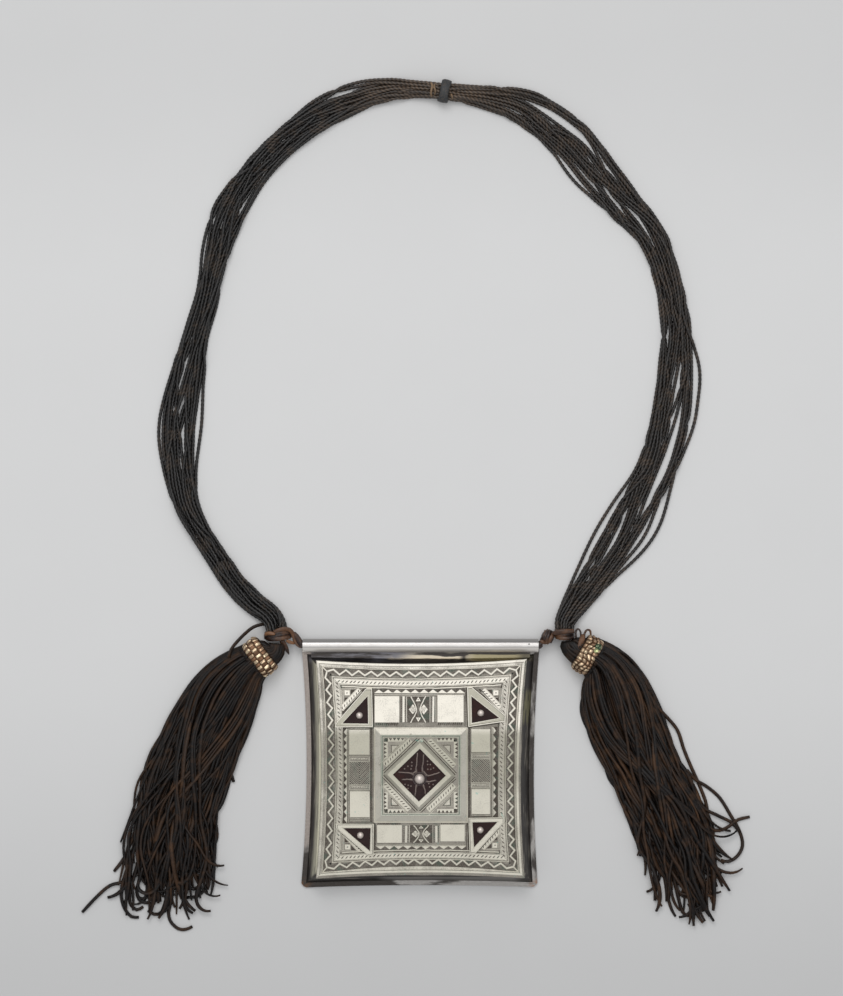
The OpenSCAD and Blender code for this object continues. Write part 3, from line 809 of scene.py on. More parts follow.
@dataclass
class Tassel:
    """One tassel: flat leather strips that fan out of its band, and the strands of its head.

    Attributes:
        name: Name of the CAD node that it replaces.
        trunk: Rows from the hitch to the fringe: x, y, width and height.
        strays: Strips that leave the tassel, each a row of x, y and z.
        reach: How far the middle tips run on past the trunk.
        slant: How much shorter the strips to the right are cut, and to the left where it is
            under 0, as a share of the reach.
        hooks: Share of the ends that curl.
        worn: Share of brown on the strips.
        strips: Number of strips.
        strip_w: Width of a strip.
        strip_t: Thickness of a strip.
        spacing: Distance from station to station.
        seed: Seed of their wandering.
    """

    name: str
    trunk: tuple[Four, ...]
    strays: tuple[tuple[Triple, ...], ...]
    reach: float = 27.0
    slant: float = 0.3
    hooks: float = 0.34
    worn: float = 0.6
    strips: int = 120
    strip_w: float = 1.75
    strip_t: float = 0.95
    spacing: float = 2.4
    seed: int = 21

    def stations(self) -> Array:
        """Rows of the trunk past the band at even steps, run on past its end by the reach.

        Returns:
            Rows of x, y, width and height.
        """
        rows = np.array(self.trunk[3:])
        step = rows[-1] - rows[-2]
        last = rows[-1] + step * (self.reach + 4) / np.linalg.norm(step[:2])
        last[2:] = rows[-1, 2] * 0.86, rows[-1, 3] * 0.6
        return smooth_rows(np.vstack([rows, last]), self.spacing)

    def lines(self) -> Array:
        """Centre lines of the strips.

        Strip i aims at the lane frac(i g) of the width, and at the height frac(i g²) of the
        oval trunk over that lane. One in eight crosses to the other side on top of the rest.
        Waves across it grow towards the fringe. The strips settle, each is cut at its own
        length, and its end turns in plan by a curl that grows with the length.

        Returns:
            Points of shape (strips, stations, 3).
        """
        rng = np.random.default_rng(self.seed)
        rows = self.stations()
        count, step = self.strips, self.spacing
        run = np.arange(len(rows)) * step
        index = np.arange(count)
        lane = 2.0 * ((index * GOLDEN + 0.31) % 1.0) - 1.0
        layer = (index * GOLDEN * GOLDEN + 0.17) % 1.0
        loose = ease((run - 12.0) / 95.0)[:, None]
        crossing = (rng.uniform(0, 1, count) < 0.13) * -1.1 * np.sign(lane)
        mixed = lane + 0.34 * drift(rng, count, run, (60.0, 160.0)) * loose
        mixed = mixed + crossing * ease((run[:, None] - 18.0) / 80.0)
        mixed = np.clip(mixed, -1.0, 1.0)
        layer = np.where(crossing != 0, 1.0, layer)
        aims = mixed * (1.06 * rows[:, 2:3] - self.strip_w) / 2
        aims += drift(rng, count, run, (22.0, 46.0)) * loose * 2.6
        arch = np.sqrt(1.0 - 0.78 * mixed**2)
        z = self.strip_t / 2 + layer * (rows[:, 3:4] * arch - self.strip_t)
        u, z = settle(aims, z, np.zeros(len(rows)), 1.2, 0.0, 0.12, 26)
        plan = rows[:, None, :2] + across(rows[:, :2])[:, None] * u[..., None]
        whole = np.concatenate([plan, z[..., None]], axis=2).transpose(1, 0, 2)
        curl = rng.uniform(9.0, 19.0, count)
        cut = 0.75 * lane**2 * rng.uniform(0.3, 1.0, count) + 0.75 * rng.uniform(0, 1, count) ** 1.4
        full = run[-1] - 4.0 - self.reach * (cut + np.maximum(self.slant * lane, 0.0))
        at = np.linspace(0.0, 1.0, 46)[None] * (full - curl)[:, None] / step
        low = np.minimum(at.astype(int), len(rows) - 2)
        part = (at - low)[..., None]
        body = whole[index[:, None], low] * (1 - part) + whole[index[:, None], low + 1] * part
        ahead = body[:, -1] - body[:, -3]
        hooked = (rng.uniform(0, 1, count) < self.hooks) & (np.abs(lane) < 0.72) & (cut < 0.8)
        bend = rng.normal(0.0, 0.04, count)
        bend = bend + hooked * rng.choice([-1.0, 1.0], count) * rng.uniform(0.08, 0.24, count)
        pace = np.linspace(0.0, 1.0, 13)[1:][None]
        turn = np.arctan2(ahead[:, 1], ahead[:, 0])[:, None] + (bend * curl)[:, None] * pace**1.6
        stride = (curl / 12)[:, None]
        steps = np.stack([np.cos(turn) * stride, np.sin(turn) * stride], axis=2)
        tip = np.cumsum(steps, axis=1) + body[:, -1:, :2]
        rest = self.strip_t / 2 + 1.6 * layer[:, None]
        drop = body[:, -1:, 2] + (rest - body[:, -1:, 2]) * ease(pace)
        return np.concatenate([body, np.concatenate([tip, drop[..., None]], axis=2)], axis=1)

    def pressed(self, rings: Array) -> Array:
        """Rings of the strips, flat where they would sink into what the tassel lies on."""
        rings[..., 2] = np.maximum(rings[..., 2], 0.0)
        return rings

    def build(self, finish: bpy.types.Material) -> bpy.types.Object:
        """Makes the strips and the stray strips one piece.

        Args:
            finish: Material of the leather.

        Returns:
            The piece, which stands for the tassel's CAD node.
        """
        rng = np.random.default_rng(self.seed + 1)
        shell = Shell()
        lines = self.lines()
        k, n, _ = lines.shape
        span = np.linspace(0.0, 1.0, n)[None]
        roll = rng.normal(0.0, 0.35, (k, 1)) + 0.9 * drift(rng, k, span[0] * 130, (50.0, 140.0)).T * span
        wide = self.strip_w * rng.uniform(0.55, 1.15, (k, 1)) * (1 - 0.3 * ease((span - 0.9) / 0.1))
        thick = self.strip_t * rng.uniform(0.85, 1.1, (k, 1)) * (1 - 0.5 * ease((span - 0.95) / 0.05))
        brown = rng.beta(0.7, 2.2, (k, 1)) + 0.25 * drift(rng, k, span[0] * 130, (18.0, 60.0)).T
        tint = np.clip(brown, 0.0, 1.0) * self.worn
        # The tone round each strip's section is painted shade: its top is brightest, its sides dimmer and its
        # underside darkest.
        edge = np.array([0.8, 1.0, 0.8, 0.8, 0.6, 0.8])
        rings = swept(lines, UP, wide, thick, 6, roll, square=0.8)
        shell.add_tubes(self.pressed(rings), edge, tint[..., None])
        for stray in self.strays:
            rows = smooth_rows(np.array(stray), 1.6)
            n = len(rows)
            taper = 1 - 0.15 * ease((np.linspace(0, 1, n) - 0.9) / 0.1)
            rings = swept(rows[None], UP, 1.5 * taper[None], self.strip_t * taper[None], 6, 0.5, square=0.8)
            shell.add_tubes(self.pressed(rings), edge, rng.uniform(0.1, 0.6) * self.worn)
        piece = shell.piece(f"{self.name}_strips", finish)
        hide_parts(self.name)
        return piece

    def build_head(self, finish: bpy.types.Material) -> bpy.types.Object:
        """Makes the strands between the hitch and the band, in a ring round a core.

        Strand k runs at the angle 2 pi k / count round an oval that is drawn in from the
        trunk by half a strand, and its angle turns slowly along the head.

        Args:
            finish: Material of the leather.

        Returns:
            The piece, which stands for the tassel's CAD node.
        """
        rng = np.random.default_rng(self.seed + 5)
        rows = smooth_rows(np.array(self.trunk[:5]), 0.9)
        count, d = 26, 1.75
        side = across(rows[:, :2])
        angle = 2 * math.pi * (np.arange(count)[:, None] + rng.uniform(-0.2, 0.2, (count, 1))) / count
        sway = 0.1 * drift(rng, count, np.arange(len(rows)) * 1.0, (6, 14)).T
        angle = angle + 0.5 * np.linspace(0, 1, len(rows))[None] + sway
        width, tall = (rows[:, 2] - d) / 2, (rows[:, 3] - d) / 2
        middle = 6.05
        plan = rows[None, :, :2] + side[None] * (width * np.cos(angle))[..., None]
        paths = np.concatenate([plan, (middle + tall * np.sin(angle))[..., None]], axis=2)
        shell = Shell()
        brown = rng.beta(0.9, 2.0, (count, 1, 1)) * 0.4
        shell.add_tubes(swept(paths, UP, d, d * 0.85, 8), 0.7, brown)
        # The core is dark because it stands for the shade between the strands: painted shade.
        core = np.concatenate([rows[:, :2], np.full((len(rows), 1), middle)], axis=1)[None]
        shell.add_tubes(swept(core, UP, 2 * width[None], 2 * tall[None], 16), 0.2, 0.0)
        piece = shell.piece(f"{self.name}_head", finish)
        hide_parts(self.name)
        return piece


@dataclass
class LaceWinding:
    """Turns of leather lace wound round the ends of the cords.

    Attributes:
        name: Name of the CAD node that it replaces.
        at: Middle of the winding in plan.
        length: Length along its axis.
        wide: Width across its axis.
        tall: Height above the surface.
        heading: Direction of the axis in plan, in degrees.
        turns: Number of turns.
        lace: Width and thickness of the lace.
        lean: How far the turns lean along the axis.
        ball: How far its ends are drawn in.
        worn: Mean tint of the winding.
        tails: Loose laces, each its tint, and rows of x, y and z with its width.
        seed: Seed of its uneven turns.
    """

    name: str
    at: Pair
    length: float
    wide: float
    tall: float
    heading: float
    turns: float = 3.4
    lace: Pair = (2.1, 0.9)
    lean: float = 0.7
    ball: float = 0.1
    worn: float = 0.2
    tails: tuple[tuple[float, tuple[Four, ...]], ...] = ()
    seed: int = 31

    def build(self, finish: bpy.types.Material) -> bpy.types.Object:
        """Winds the lace as a leaning helix over a plain core, and adds its tails.

        At the angle a the lace's middle is at axis (a share of the length + lean sin(a)),
        across cos(a) half the width, and up sin(a) half the height, all drawn in by half its
        thickness.

        Args:
            finish: Material of the lace.

        Returns:
            The piece, which stands for the CAD node.
        """
        rng = np.random.default_rng(self.seed)
        axis, side = facing(self.heading)
        w, t = self.lace
        middle = np.array([*self.at, self.tall / 2])
        a = np.linspace(0.0, 2 * math.pi * self.turns, round(34 * self.turns))
        share = a / a[-1] - 0.5
        puff = 1 + 0.03 * np.sin(a * 0.73 + 1) - self.ball * np.abs(2 * share) ** 2.6
        along = share * (self.length - w) + self.lean * np.sin(a + 0.6) * np.cos(a * 0.31)
        radial = (
            side * np.cos(a)[:, None] * (self.wide - t) / 2 + UP * np.sin(a)[:, None] * (self.tall - t) / 2
        )
        path = middle + axis * along[:, None] + radial * puff[:, None]
        shell = Shell()
        tint = self.worn + 0.5 * drift(rng, 1, a * 4, (9.0, 30.0)).T
        wide = w * (1 + 0.1 * np.sin(a * 2.2))[None]
        wound = swept(path[None], unit(radial)[None], wide, t, 10, square=0.7)
        shell.add_tubes(wound, 0.95, np.clip(tint, 0, 1)[..., None])
        ends = middle + axis * np.linspace(-0.5, 0.5, 9)[:, None] * (self.length - 0.4)
        bulge = (1 - (self.ball + 0.25) * np.abs(np.linspace(-1, 1, 9)) ** 3)[None]
        core = swept(ends[None], UP, (self.wide - 1.5 * t) * bulge, (self.tall - 1.5 * t) * bulge, 20)
        shell.add_tubes(core, 0.25, 0.2)
        for shade, tail in self.tails:
            rows = smooth_rows(np.array(tail), 0.5)
            wave = 0.35 * np.sin(np.linspace(0, 5, len(rows)))[None]
            deep = np.minimum(t, rows[None, :, 3])
            loose = swept(rows[None, :, :3], UP, rows[None, :, 3], deep, 10, wave, square=0.75)
            shell.add_tubes(loose, 0.95, shade)
        piece = shell.piece(f"{self.name}_lace", finish)
        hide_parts(self.name)
        return piece


# Metal pieces


class Weave(Enum):
    """How a band is worked."""

    BRICKS = "long bricks that pass over and under in turn"
    PEBBLES = "rounded beads of uneven size"


@dataclass
class WovenBand:
    """The woven gold-coloured band round the head of a tassel.

    Attributes:
        name: Name of the CAD node that it replaces.
        at: Its middle in plan.
        heading: Direction of its axis in plan, in degrees.
        wide: Width across its axis.
        tall: Height as it lies.
        length: Length along its axis.
        wall: Thickness.
        weave: How it is worked.
        bricks: Number of bricks or beads round it.
        rows: Number of rows of them along it.
        seed: Seed of the bricks' uneven tilt.
    """

    name: str
    at: Pair
    heading: float
    wide: float = 17.4
    tall: float = 12.0
    length: float = 7.8
    wall: float = 1.3
    weave: Weave = Weave.BRICKS
    bricks: int = 32
    rows: int = 3
    seed: int = 41

    def oval(self, count: int) -> tuple[Array, Array]:
        """Points of a flat oval with round ends, evenly spaced round it, and their normals.

        Args:
            count: Number of points.

        Returns:
            Points across and up, and the outward unit vectors there.
        """
        a = np.linspace(0, 2 * math.pi, 721)
        r, flat = self.tall / 2, (self.wide - self.tall) / 2
        ring = np.stack([np.sign(np.cos(a)) * flat + r * np.cos(a), r * np.sin(a)], axis=1)
        run = travelled(ring)
        at = np.linspace(0, run[-1], count, endpoint=False)
        point = read_off(ring, run, at)
        centre = np.stack([np.clip(point[:, 0], -flat, flat), np.zeros(count)], axis=1)
        return point, unit(point - centre)

    def build(self, finish: bpy.types.Material) -> bpy.types.Object:
        """Works the weave out as the height of one closed surface.

        Over brick fractions f and g the pillow is (1 - |2f-1|^p)(1 - |2g-1|^p). Bricks take
        p = 6 and lie high and low in turn. Beads take p = 2.4, and their rows wave and are
        shifted by half a bead. Each is tilted by seeded amounts, and both ends of the band
        are drawn in by the cube of the distance from its middle.

        Args:
            finish: Material of the band.

        Returns:
            The piece, which stands for the CAD node.
        """
        rng = np.random.default_rng(self.seed)
        fine_u, fine_v = 8, 9
        count = self.bricks * fine_u
        point, out = self.oval(count)
        v = np.linspace(0.0, 1.0, self.rows * fine_v + 1)
        place = np.repeat(np.arange(count)[None, :] / fine_u, len(v), axis=0)
        level = np.repeat(v[:, None] * self.rows, count, axis=1)
        pebbles = self.weave is Weave.PEBBLES
        if pebbles:
            wave = 0.45 * np.sin(2 * math.pi * 5 * place / self.bricks + 1.0)
            level = level + wave * np.sin(math.pi * v)[:, None]
        row = np.clip(level.astype(int), 0, self.rows - 1)
        g = np.clip(level - row, 0.0, 1.0)
        if pebbles:
            place = place + 0.5 * row + 0.4 * np.sin(2 * math.pi * (3 * place / self.bricks + 0.37 * row))
        brick = np.floor(place).astype(int) % self.bricks
        f = place - np.floor(place)
        power = 2.4 if pebbles else 6.0
        pillow = (1 - np.abs(2 * f - 1) ** power) * (1 - np.abs(2 * g - 1) ** power)
        over = rng.uniform(0.35, 1.0, (self.rows, self.bricks))[row, brick] if pebbles else (brick + row) % 2
        tilt = rng.normal(0.0, 0.5, (2, self.rows, self.bricks))[:, row, brick]
        rise = (0.3 + 0.25 * over) * pillow + pillow * (tilt[0] * (f - 0.5) + tilt[1] * (g - 0.5))
        outer = rise - 0.6 - 1.1 * np.abs(2 * v[:, None] - 1) ** 3
        inner = np.full((3, count), -self.wall)
        depth = np.concatenate([outer, inner])
        along = np.concatenate([v - 0.5, [0.46, 0.0, -0.46]]) * self.length
        axis, side = facing(self.heading)
        flat = point[None] + out[None] * depth[..., None]
        middle = np.array([*self.at, self.tall / 2 + 0.05])
        grid = middle + axis * along[:, None, None] + side * flat[..., :1] + UP * flat[..., 1:]
        grid[..., 2] = np.maximum(grid[..., 2], 0.0)
        tone = np.concatenate([(0.3 + 0.7 * pillow) * (0.55 + 0.45 * over), np.full((3, count), 0.1)])
        shade = rng.uniform(0.2, 1, (self.rows, self.bricks))[row, brick] * (0.1 + 0.9 * over)
        shell = Shell()
        shell.add_loop_grid(grid[::-1], tone[::-1], np.concatenate([shade, np.zeros((3, count))])[::-1])
        piece = shell.piece(f"{self.name}_weave", finish)
        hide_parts(self.name)
        return piece


def brass_finish() -> bpy.types.Material:
    """Gold-coloured metal: brown in the gaps and bright on the bricks, with two green spots.

    Returns:
        The material.
    """
    g = Graph("gold_weave")
    place = g.axes()[:2]
    colour = g.mix(g.attribute("tint"), (0.36, 0.20, 0.12), (0.92, 0.74, 0.50))
    colour = g.mix(g.fit(g.attribute("tone"), 0.3, 0.8), (0.075, 0.034, 0.016), colour)
    spots = (
        ((0.0745, 0.0510), 0.0019, (0.035, 0.10, 0.055)),
        ((0.0735, 0.0495), 0.0012, (0.50, 0.55, 0.28)),
    )
    for at, radius, green in spots:
        dx, dy = (g.calc("POWER", g.calc("SUBTRACT", c, p), 2.0) for c, p in zip(place, at))
        near = g.fit(g.calc("ADD", dx, dy), radius**2, (0.5 * radius) ** 2)
        colour = g.mix(g.times(near, 0.85), colour, green)
    rough = g.fit(g.attribute("tone"), 0.2, 0.9, (0.6, 0.26))
    return g.finish(colour, rough, g.noise(0.5), 0.03, Metallic=0.9)


def wall_colour(g: Graph) -> object:
    """Colours the case wall, which has tarnished nearly black with worn streaks.

    It has a gold-coloured painted highlight beside the right half of the tube, and is bluish beside the left
    half, olive along the top of its left side and in one patch of its right side, and bare along its foot.

    Args:
        g: Graph to work in.

    Returns:
        The colour.
    """
    x, y, z = g.axes()
    ends, streak = g.streaks(2.4, 0.6, 0.16)
    wall = g.mix(g.fit(streak, 0.5, 0.74), (0.055, 0.049, 0.046), (0.32, 0.29, 0.245))
    # Painted highlight: a thin gold-coloured line on the wall above the face, cream towards the middle and
    # olive towards the right.
    half = g.fit(x, 0.016, 0.023, (0.0005, 0.0012))
    off_line = g.off(y, g.fit(streak, 0.3, 0.7, (0.0459, 0.0468)))
    gold = g.times(g.fit(off_line, g.times(half, 1.5), half), g.fit(x, -0.018, -0.009))
    ending = g.fit(g.off(x, 0.0306), 0.0085, 0.0135, (1.0, 0.25))
    gold = g.times(gold, g.mix(g.fit(x, 0.018, 0.0195), g.fit(x, 0.0185, 0.0155), ending))
    highlight_colour = g.mix(g.fit(x, 0.016, 0.024), (0.58, 0.51, 0.40), (0.33, 0.29, 0.18))
    wall = g.mix(gold, wall, highlight_colour)
    bluish = g.times(g.fit(y, 0.0435, 0.0450), g.fit(x, 0.0, -0.012), g.fit(streak, 0.4, 0.6))
    wall = g.mix(bluish, wall, (0.17, 0.165, 0.18))
    olive = g.times(g.fit(x, -0.0405, -0.0415), g.fit(z, 0.0043, 0.0073), g.fit(ends, 1.0, 0.0))
    wall = g.mix(g.times(olive, g.fit(streak, 0.34, 0.5, (0.5, 1.0))), wall, (0.50, 0.475, 0.37))
    patch = g.times(g.fit(x, 0.0425, 0.0435), g.fit(g.off(y, 0.0255), 0.0085, 0.0055))
    wall = g.mix(g.times(patch, g.fit(streak, 0.42, 0.56)), wall, (0.25, 0.23, 0.13))
    foot = g.times(g.fit(y, -0.0457, -0.0461), g.fit(x, -0.020, -0.012), g.fit(x, 0.044, 0.038))
    return g.mix(foot, wall, (0.28, 0.265, 0.25))


def case_finish() -> bpy.types.Material:
    """The box: a polished tube with one pit, and the tarnished wall.

    The tube is where the distance from its axis, by Object coordinates, is under 3 mm. It carries painted
    light: its upper side is painted darker as painted shade, and its lower half lighter and less metallic as
    a painted reflection.

    Returns:
        The material.
    """
    g = Graph("case_silver")
    x, y, z = g.axes()
    wall = wall_colour(g)
    away = [g.calc("POWER", g.calc("SUBTRACT", c, at), 2.0) for c, at in ((y, 0.0514), (z, 0.0052))]
    tube = g.fit(g.calc("ADD", *away), 8.6e-6, 9.1e-6, (1.0, 0.0))
    cloud, fine = g.noise(7.0, 4.0, 0.6), g.noise(0.7, 3.0, 0.6)
    metal = g.mix(g.fit(cloud, 0.35, 0.7, (0.0, 0.5)), (0.54, 0.52, 0.505), (0.43, 0.41, 0.39))
    # Painted shade on the upper side of the tube, which narrows its highlight.
    metal = g.mix(g.fit(y, 0.0520, 0.0527), metal, (0.37, 0.355, 0.345))
    # Painted reflection: the lower half of the tube is painted lighter.
    low = g.fit(y, 0.0512, 0.0502)
    metal = g.mix(low, metal, (0.86, 0.81, 0.76))
    metal = g.mix(g.fit(fine, 0.68, 0.78), metal, (0.16, 0.14, 0.13))
    pit = [g.calc("POWER", g.calc("SUBTRACT", c, at), 2.0) for c, at in ((x, 0.0455), (y, 0.0521))]
    metal = g.mix(g.fit(g.calc("ADD", *pit), 1.4e-7, 0.4e-7), metal, (0.01, 0.01, 0.01))
    rough = g.fit(tube, 0.0, 1.0, (0.42, 0.3))
    # The lower half of the tube is less metallic, so that its painted reflection shows.
    metallic = g.fit(g.times(low, tube), 0.0, 1.0, (0.92, 0.5))
    return g.finish(g.mix(tube, wall, metal), rough, fine, 0.02, Metallic=metallic)


def plate_finish() -> bpy.types.Material:
    """The back plate: dull silver, nearly black in places, with copper at its lower corners.

    Its left edge is bare and pinkish in its upper two thirds. The right of its foot has more
    bare metal than the rest, and its lower left and the middle of its right edge have less.

    Returns:
        The material.
    """
    g = Graph("back_silver")
    x, y = g.axes()[:2]
    fine = g.noise(0.8, 3.0, 0.6)
    streak = g.streaks(4.0, 0.55, 0.22)[1]
    wavy = g.calc("ADD", y, g.times(g.noise(9.0), 0.03))
    pink = g.times(g.fit(x, -0.044, -0.046), g.fit(wavy, -0.022, -0.012))
    silver = g.mix(pink, (0.30, 0.285, 0.27), (0.28, 0.245, 0.222))
    right = g.times(g.fit(x, -0.020, 0.0, (0.0, 0.2)), g.fit(y, -0.040, -0.046))
    left = g.times(g.fit(x, -0.008, -0.018, (0.0, 0.3)), g.fit(y, -0.020, -0.030))
    flank = g.times(g.fit(x, 0.044, 0.045), g.fit(g.off(y, -0.004), 0.020, 0.012, (0.0, 0.14)))
    streak = g.calc("ADD", g.calc("SUBTRACT", streak, flank), right)
    bare = g.calc("ADD", g.fit(g.calc("SUBTRACT", streak, left), 0.46, 0.62), pink, clamp=True)
    colour = g.mix(bare, (0.05, 0.044, 0.040), silver)
    corner = g.fit(g.calc("ABSOLUTE", x), 0.0440, 0.0500)
    copper = g.times(corner, g.fit(y, -0.0455, -0.0500), g.fit(g.noise(1.8), 0.35, 0.55))
    reddish = g.mix(g.fit(x, -0.01, 0.01), (0.12, 0.07, 0.045), (0.27, 0.145, 0.09))
    colour = g.mix(copper, colour, reddish)
    return g.finish(colour, g.fit(fine, 0.3, 0.7, (0.34, 0.5)), fine, 0.03, Metallic=0.85)


def face_finish(silver: Silver) -> bpy.types.Material:
    """The face plate: its raised places bright, and a painted highlight on the slopes of its raised square.

    Args:
        silver: The silver it is made of.

    Returns:
        The material.
    """
    g = Graph("plate_silver")
    x, y, z = g.axes()
    # The corner bezels are kept out of the painted highlight on the upper face, and the slopes of the raised
    # square take a painted highlight of their own.
    beyond = g.fit(g.off(y, -0.00265), 0.0199, 0.0201)
    bezel = g.times(beyond, g.fit(z, 0.0107, 0.0109))
    within = g.times(g.fit(g.calc("ABSOLUTE", x), 0.0203, 0.0200), g.calc("SUBTRACT", 1.0, beyond))
    slope_highlight = g.times(within, g.fit(z, 0.01158, 0.01150))
    return silver.tarnished(g, g.fit(z, 0.01005, 0.0102, (0.45, 0.9)), bezel, g.times(slope_highlight, 0.6))


@dataclass
class Relief:
    """Low relief laid on the face plate: ridges, tiles, slabs and beads, all closed.

    Attributes:
        shell: Mesh that they go into.
        rng: Seeded source of the small unevenness of hand work.
        jitter: Size of that unevenness in millimetres.
    """

    shell: Shell = field(default_factory=Shell)
    rng: np.random.Generator = field(default_factory=lambda: np.random.default_rng(51))
    jitter: float = 0.05

    def uneven(self, points: Array) -> Array:
        """Points moved a little, as by hand."""
        return points + self.rng.normal(0.0, self.jitter, points.shape)

    def ridge(
        self, line: Array, wide: float, z: float, rise: float, tone: float = 0.95, closed: bool = False,
        tint: float = 0.0,
    ) -> None:
        """A raised wire along a plan line, mitred at its corners.

        At each corner the section is offset along (m + n) / (1 + m.n) of the normals m and n
        of the two sides that meet there.

        Args:
            line: Points in plan.
            wide: Width of the wire.
            z: Height of what it lies on.
            rise: Its height.
            tone: Its brightness.
            closed: Whether the line returns to its first point.
            tint: Share of green on it.
        """
        line = self.uneven(np.asarray(line, float))
        if closed:
            line = np.vstack([line, line[:1]])
        t = unit(np.diff(line, axis=0))
        n = np.stack([-t[:, 1], t[:, 0]], axis=1)
        before = np.vstack([n[-1:] if closed else n[:1], n])
        after = np.vstack([n, n[:1] if closed else n[-1:]])
        mitre = (before + after) / np.maximum(1 + (before * after).sum(axis=1, keepdims=True), 0.5)
        share = np.array([0.5, 0.46, 0.2, -0.2, -0.46, -0.5]) * wide
        level = np.array([-0.02, 0.5 * rise, rise, rise, 0.5 * rise, -0.02]) + z
        plan = line[:, None] + mitre[:, None] * share[:, None]
        rings = np.concatenate([plan, np.broadcast_to(level[:, None], (*plan.shape[:2], 1))], axis=2)
        self.shell.add_tubes(rings[None], np.array([0.5, 0.85, 1.0, 1.0, 0.85, 0.5]) * tone, tint)

    def slab(self, left: Array, right: Array, z: float, tone: float, rise: float = 0.03) -> None:
        """A thin ground between a line and another to its right.

        Args:
            left: Points of the left edge in plan.
            right: As many points of the right edge.
            z: Height of what it lies on.
            tone: Its brightness.
            rise: Its thickness.
        """
        edges = np.stack([left, left, right, right], axis=1)
        level = np.array([z - 0.01, z + rise, z + rise, z - 0.01])[:, None]
        level = np.broadcast_to(level, (*edges.shape[:2], 1))
        self.shell.add_tubes(np.concatenate([edges, level], axis=2)[None], tone)

    def field(
        self, left: float, right: float, low: float, high: float, z: float, tone: float, rise: float = 0.03
    ) -> None:
        """A rectangular ground.

        Args:
            left: Left edge.
            right: Right edge.
            low: Lower edge.
            high: Upper edge.
            z: Height of what it lies on.
            tone: Its brightness.
            rise: Its thickness.
        """
        self.slab(
            np.array([[left, high], [right, high]]), np.array([[left, low], [right, low]]), z, tone, rise
        )

    def tiles(
        self, shapes: Array, z: float, rise: float, tone: float | Array, bevel: float = 0.16,
        tint: float = 0.0,
    ) -> None:
        """Small prisms with bevelled edges.

        Each corner of the top is drawn to the middle of its shape by the bevel, and the
        lower ring stays at the outline.

        Args:
            shapes: Outlines in plan, of shape (tiles, corners, 2), counter-clockwise.
            z: Height of what they lie on.
            rise: Their height.
            tone: Brightness, one number or one for each tile.
            bevel: Width of the bevel.
            tint: Share of green on them.
        """
        shapes = self.uneven(np.asarray(shapes, float))
        x, y = shapes[:, :, 0], shapes[:, :, 1]
        turn = (x * np.roll(y, -1, 1) - y * np.roll(x, -1, 1)).sum(axis=1)
        shapes = np.where((turn < 0)[:, None, None], shapes[:, ::-1], shapes)
        middle = shapes.mean(axis=1, keepdims=True)
        top = shapes - unit(shapes - middle) * bevel
        k, m, _ = shapes.shape
        rings = np.stack([
            np.concatenate([shapes, np.full((k, m, 1), z - 0.01)], axis=2),
            np.concatenate([shapes, np.full((k, m, 1), z + 0.6 * rise)], axis=2),
            np.concatenate([top, np.full((k, m, 1), z + rise)], axis=2)], axis=1)
        self.shell.add_tubes(rings, np.reshape(tone, (-1, 1, 1)) * np.array([0.6, 0.85, 1.0])[:, None], tint)

    def beads(
        self, at: Array, size: Pair, turn: Array | float, z: float, rise: float, tone: float = 0.95,
        tint: float = 0.0,
    ) -> None:
        """Low oval domes: rings of eight at half and full height of a flattened ball.

        Args:
            at: Middles in plan.
            size: Half axes along and across the turn.
            turn: Direction of the first axis in radians, one number or one for each bead.
            z: Height of what they lie on.
            rise: Their height.
            tone: Their brightness.
            tint: Share of green on them.
        """
        at = self.uneven(np.asarray(at, float))
        k = len(at)
        a = np.arange(8) * math.pi / 4
        c, s = (f(np.broadcast_to(turn, k))[:, None] for f in (np.cos, np.sin))
        px, py = size[0] * np.cos(a), size[1] * np.sin(a)
        ring = np.stack([c * px - s * py, s * px + c * py], axis=2)
        share, level = (1.0, 0.95, 0.7, 0.25), (-0.02, 0.35, 0.8, 1.0)
        rings = np.stack([
            np.concatenate([at[:, None] + ring * f, np.full((k, 8, 1), z + rise * h)], axis=2)
            for f, h in zip(share, level)], axis=1)
        self.shell.add_tubes(rings, np.array([0.55, 0.8, 1.0, 1.0])[:, None] * tone, tint)

    def teeth(
        self, start: Pair, end: Pair, count: int, tall: float, z: float, rise: float, tone: float,
        fill: float = 1.04,
    ) -> None:
        """A row of triangles on a line, which point to its left.

        Args:
            start: Start of the line.
            end: End of the line.
            count: Number of triangles.
            tall: Height of a triangle in plan.
            z: Height of what they lie on.
            rise: Their thickness.
            tone: Their brightness.
            fill: Foot of a triangle as a share of the step between them.
        """
        a, b = np.array(start), np.array(end)
        step = (b - a) / count
        up = np.array([-step[1], step[0]]) / np.linalg.norm(step) * tall
        foot = a + step * np.arange(count)[:, None]
        rim = step * (1 - fill) / 2
        self.tiles(np.stack([foot + rim, foot + step - rim, foot + step / 2 + up], axis=1), z, rise, tone)

    def strokes(
        self, start: Pair, end: Pair, count: int, arm: Pair, wide: float, z: float, tone: float,
        rise: float = 0.02,
    ) -> None:
        """A row of short strokes, each centred on a line.

        Args:
            start: Start of the line.
            end: End of the line.
            count: Number of strokes.
            arm: How far a stroke reaches from its middle, in x and y.
            wide: Width of a stroke.
            z: Height of what they lie on.
            tone: Their brightness.
            rise: Their thickness.
        """
        a, b, reach = np.array(start), np.array(end), np.array(arm)
        at = a + (b - a) * ((np.arange(count) + 0.5) / count)[:, None]
        n = np.array([-reach[1], reach[0]]) / np.linalg.norm(reach) * wide / 2
        shapes = np.stack([at - reach - n, at + reach - n, at + reach + n, at - reach + n], axis=1)
        self.tiles(shapes, z, rise, tone, 0.02)

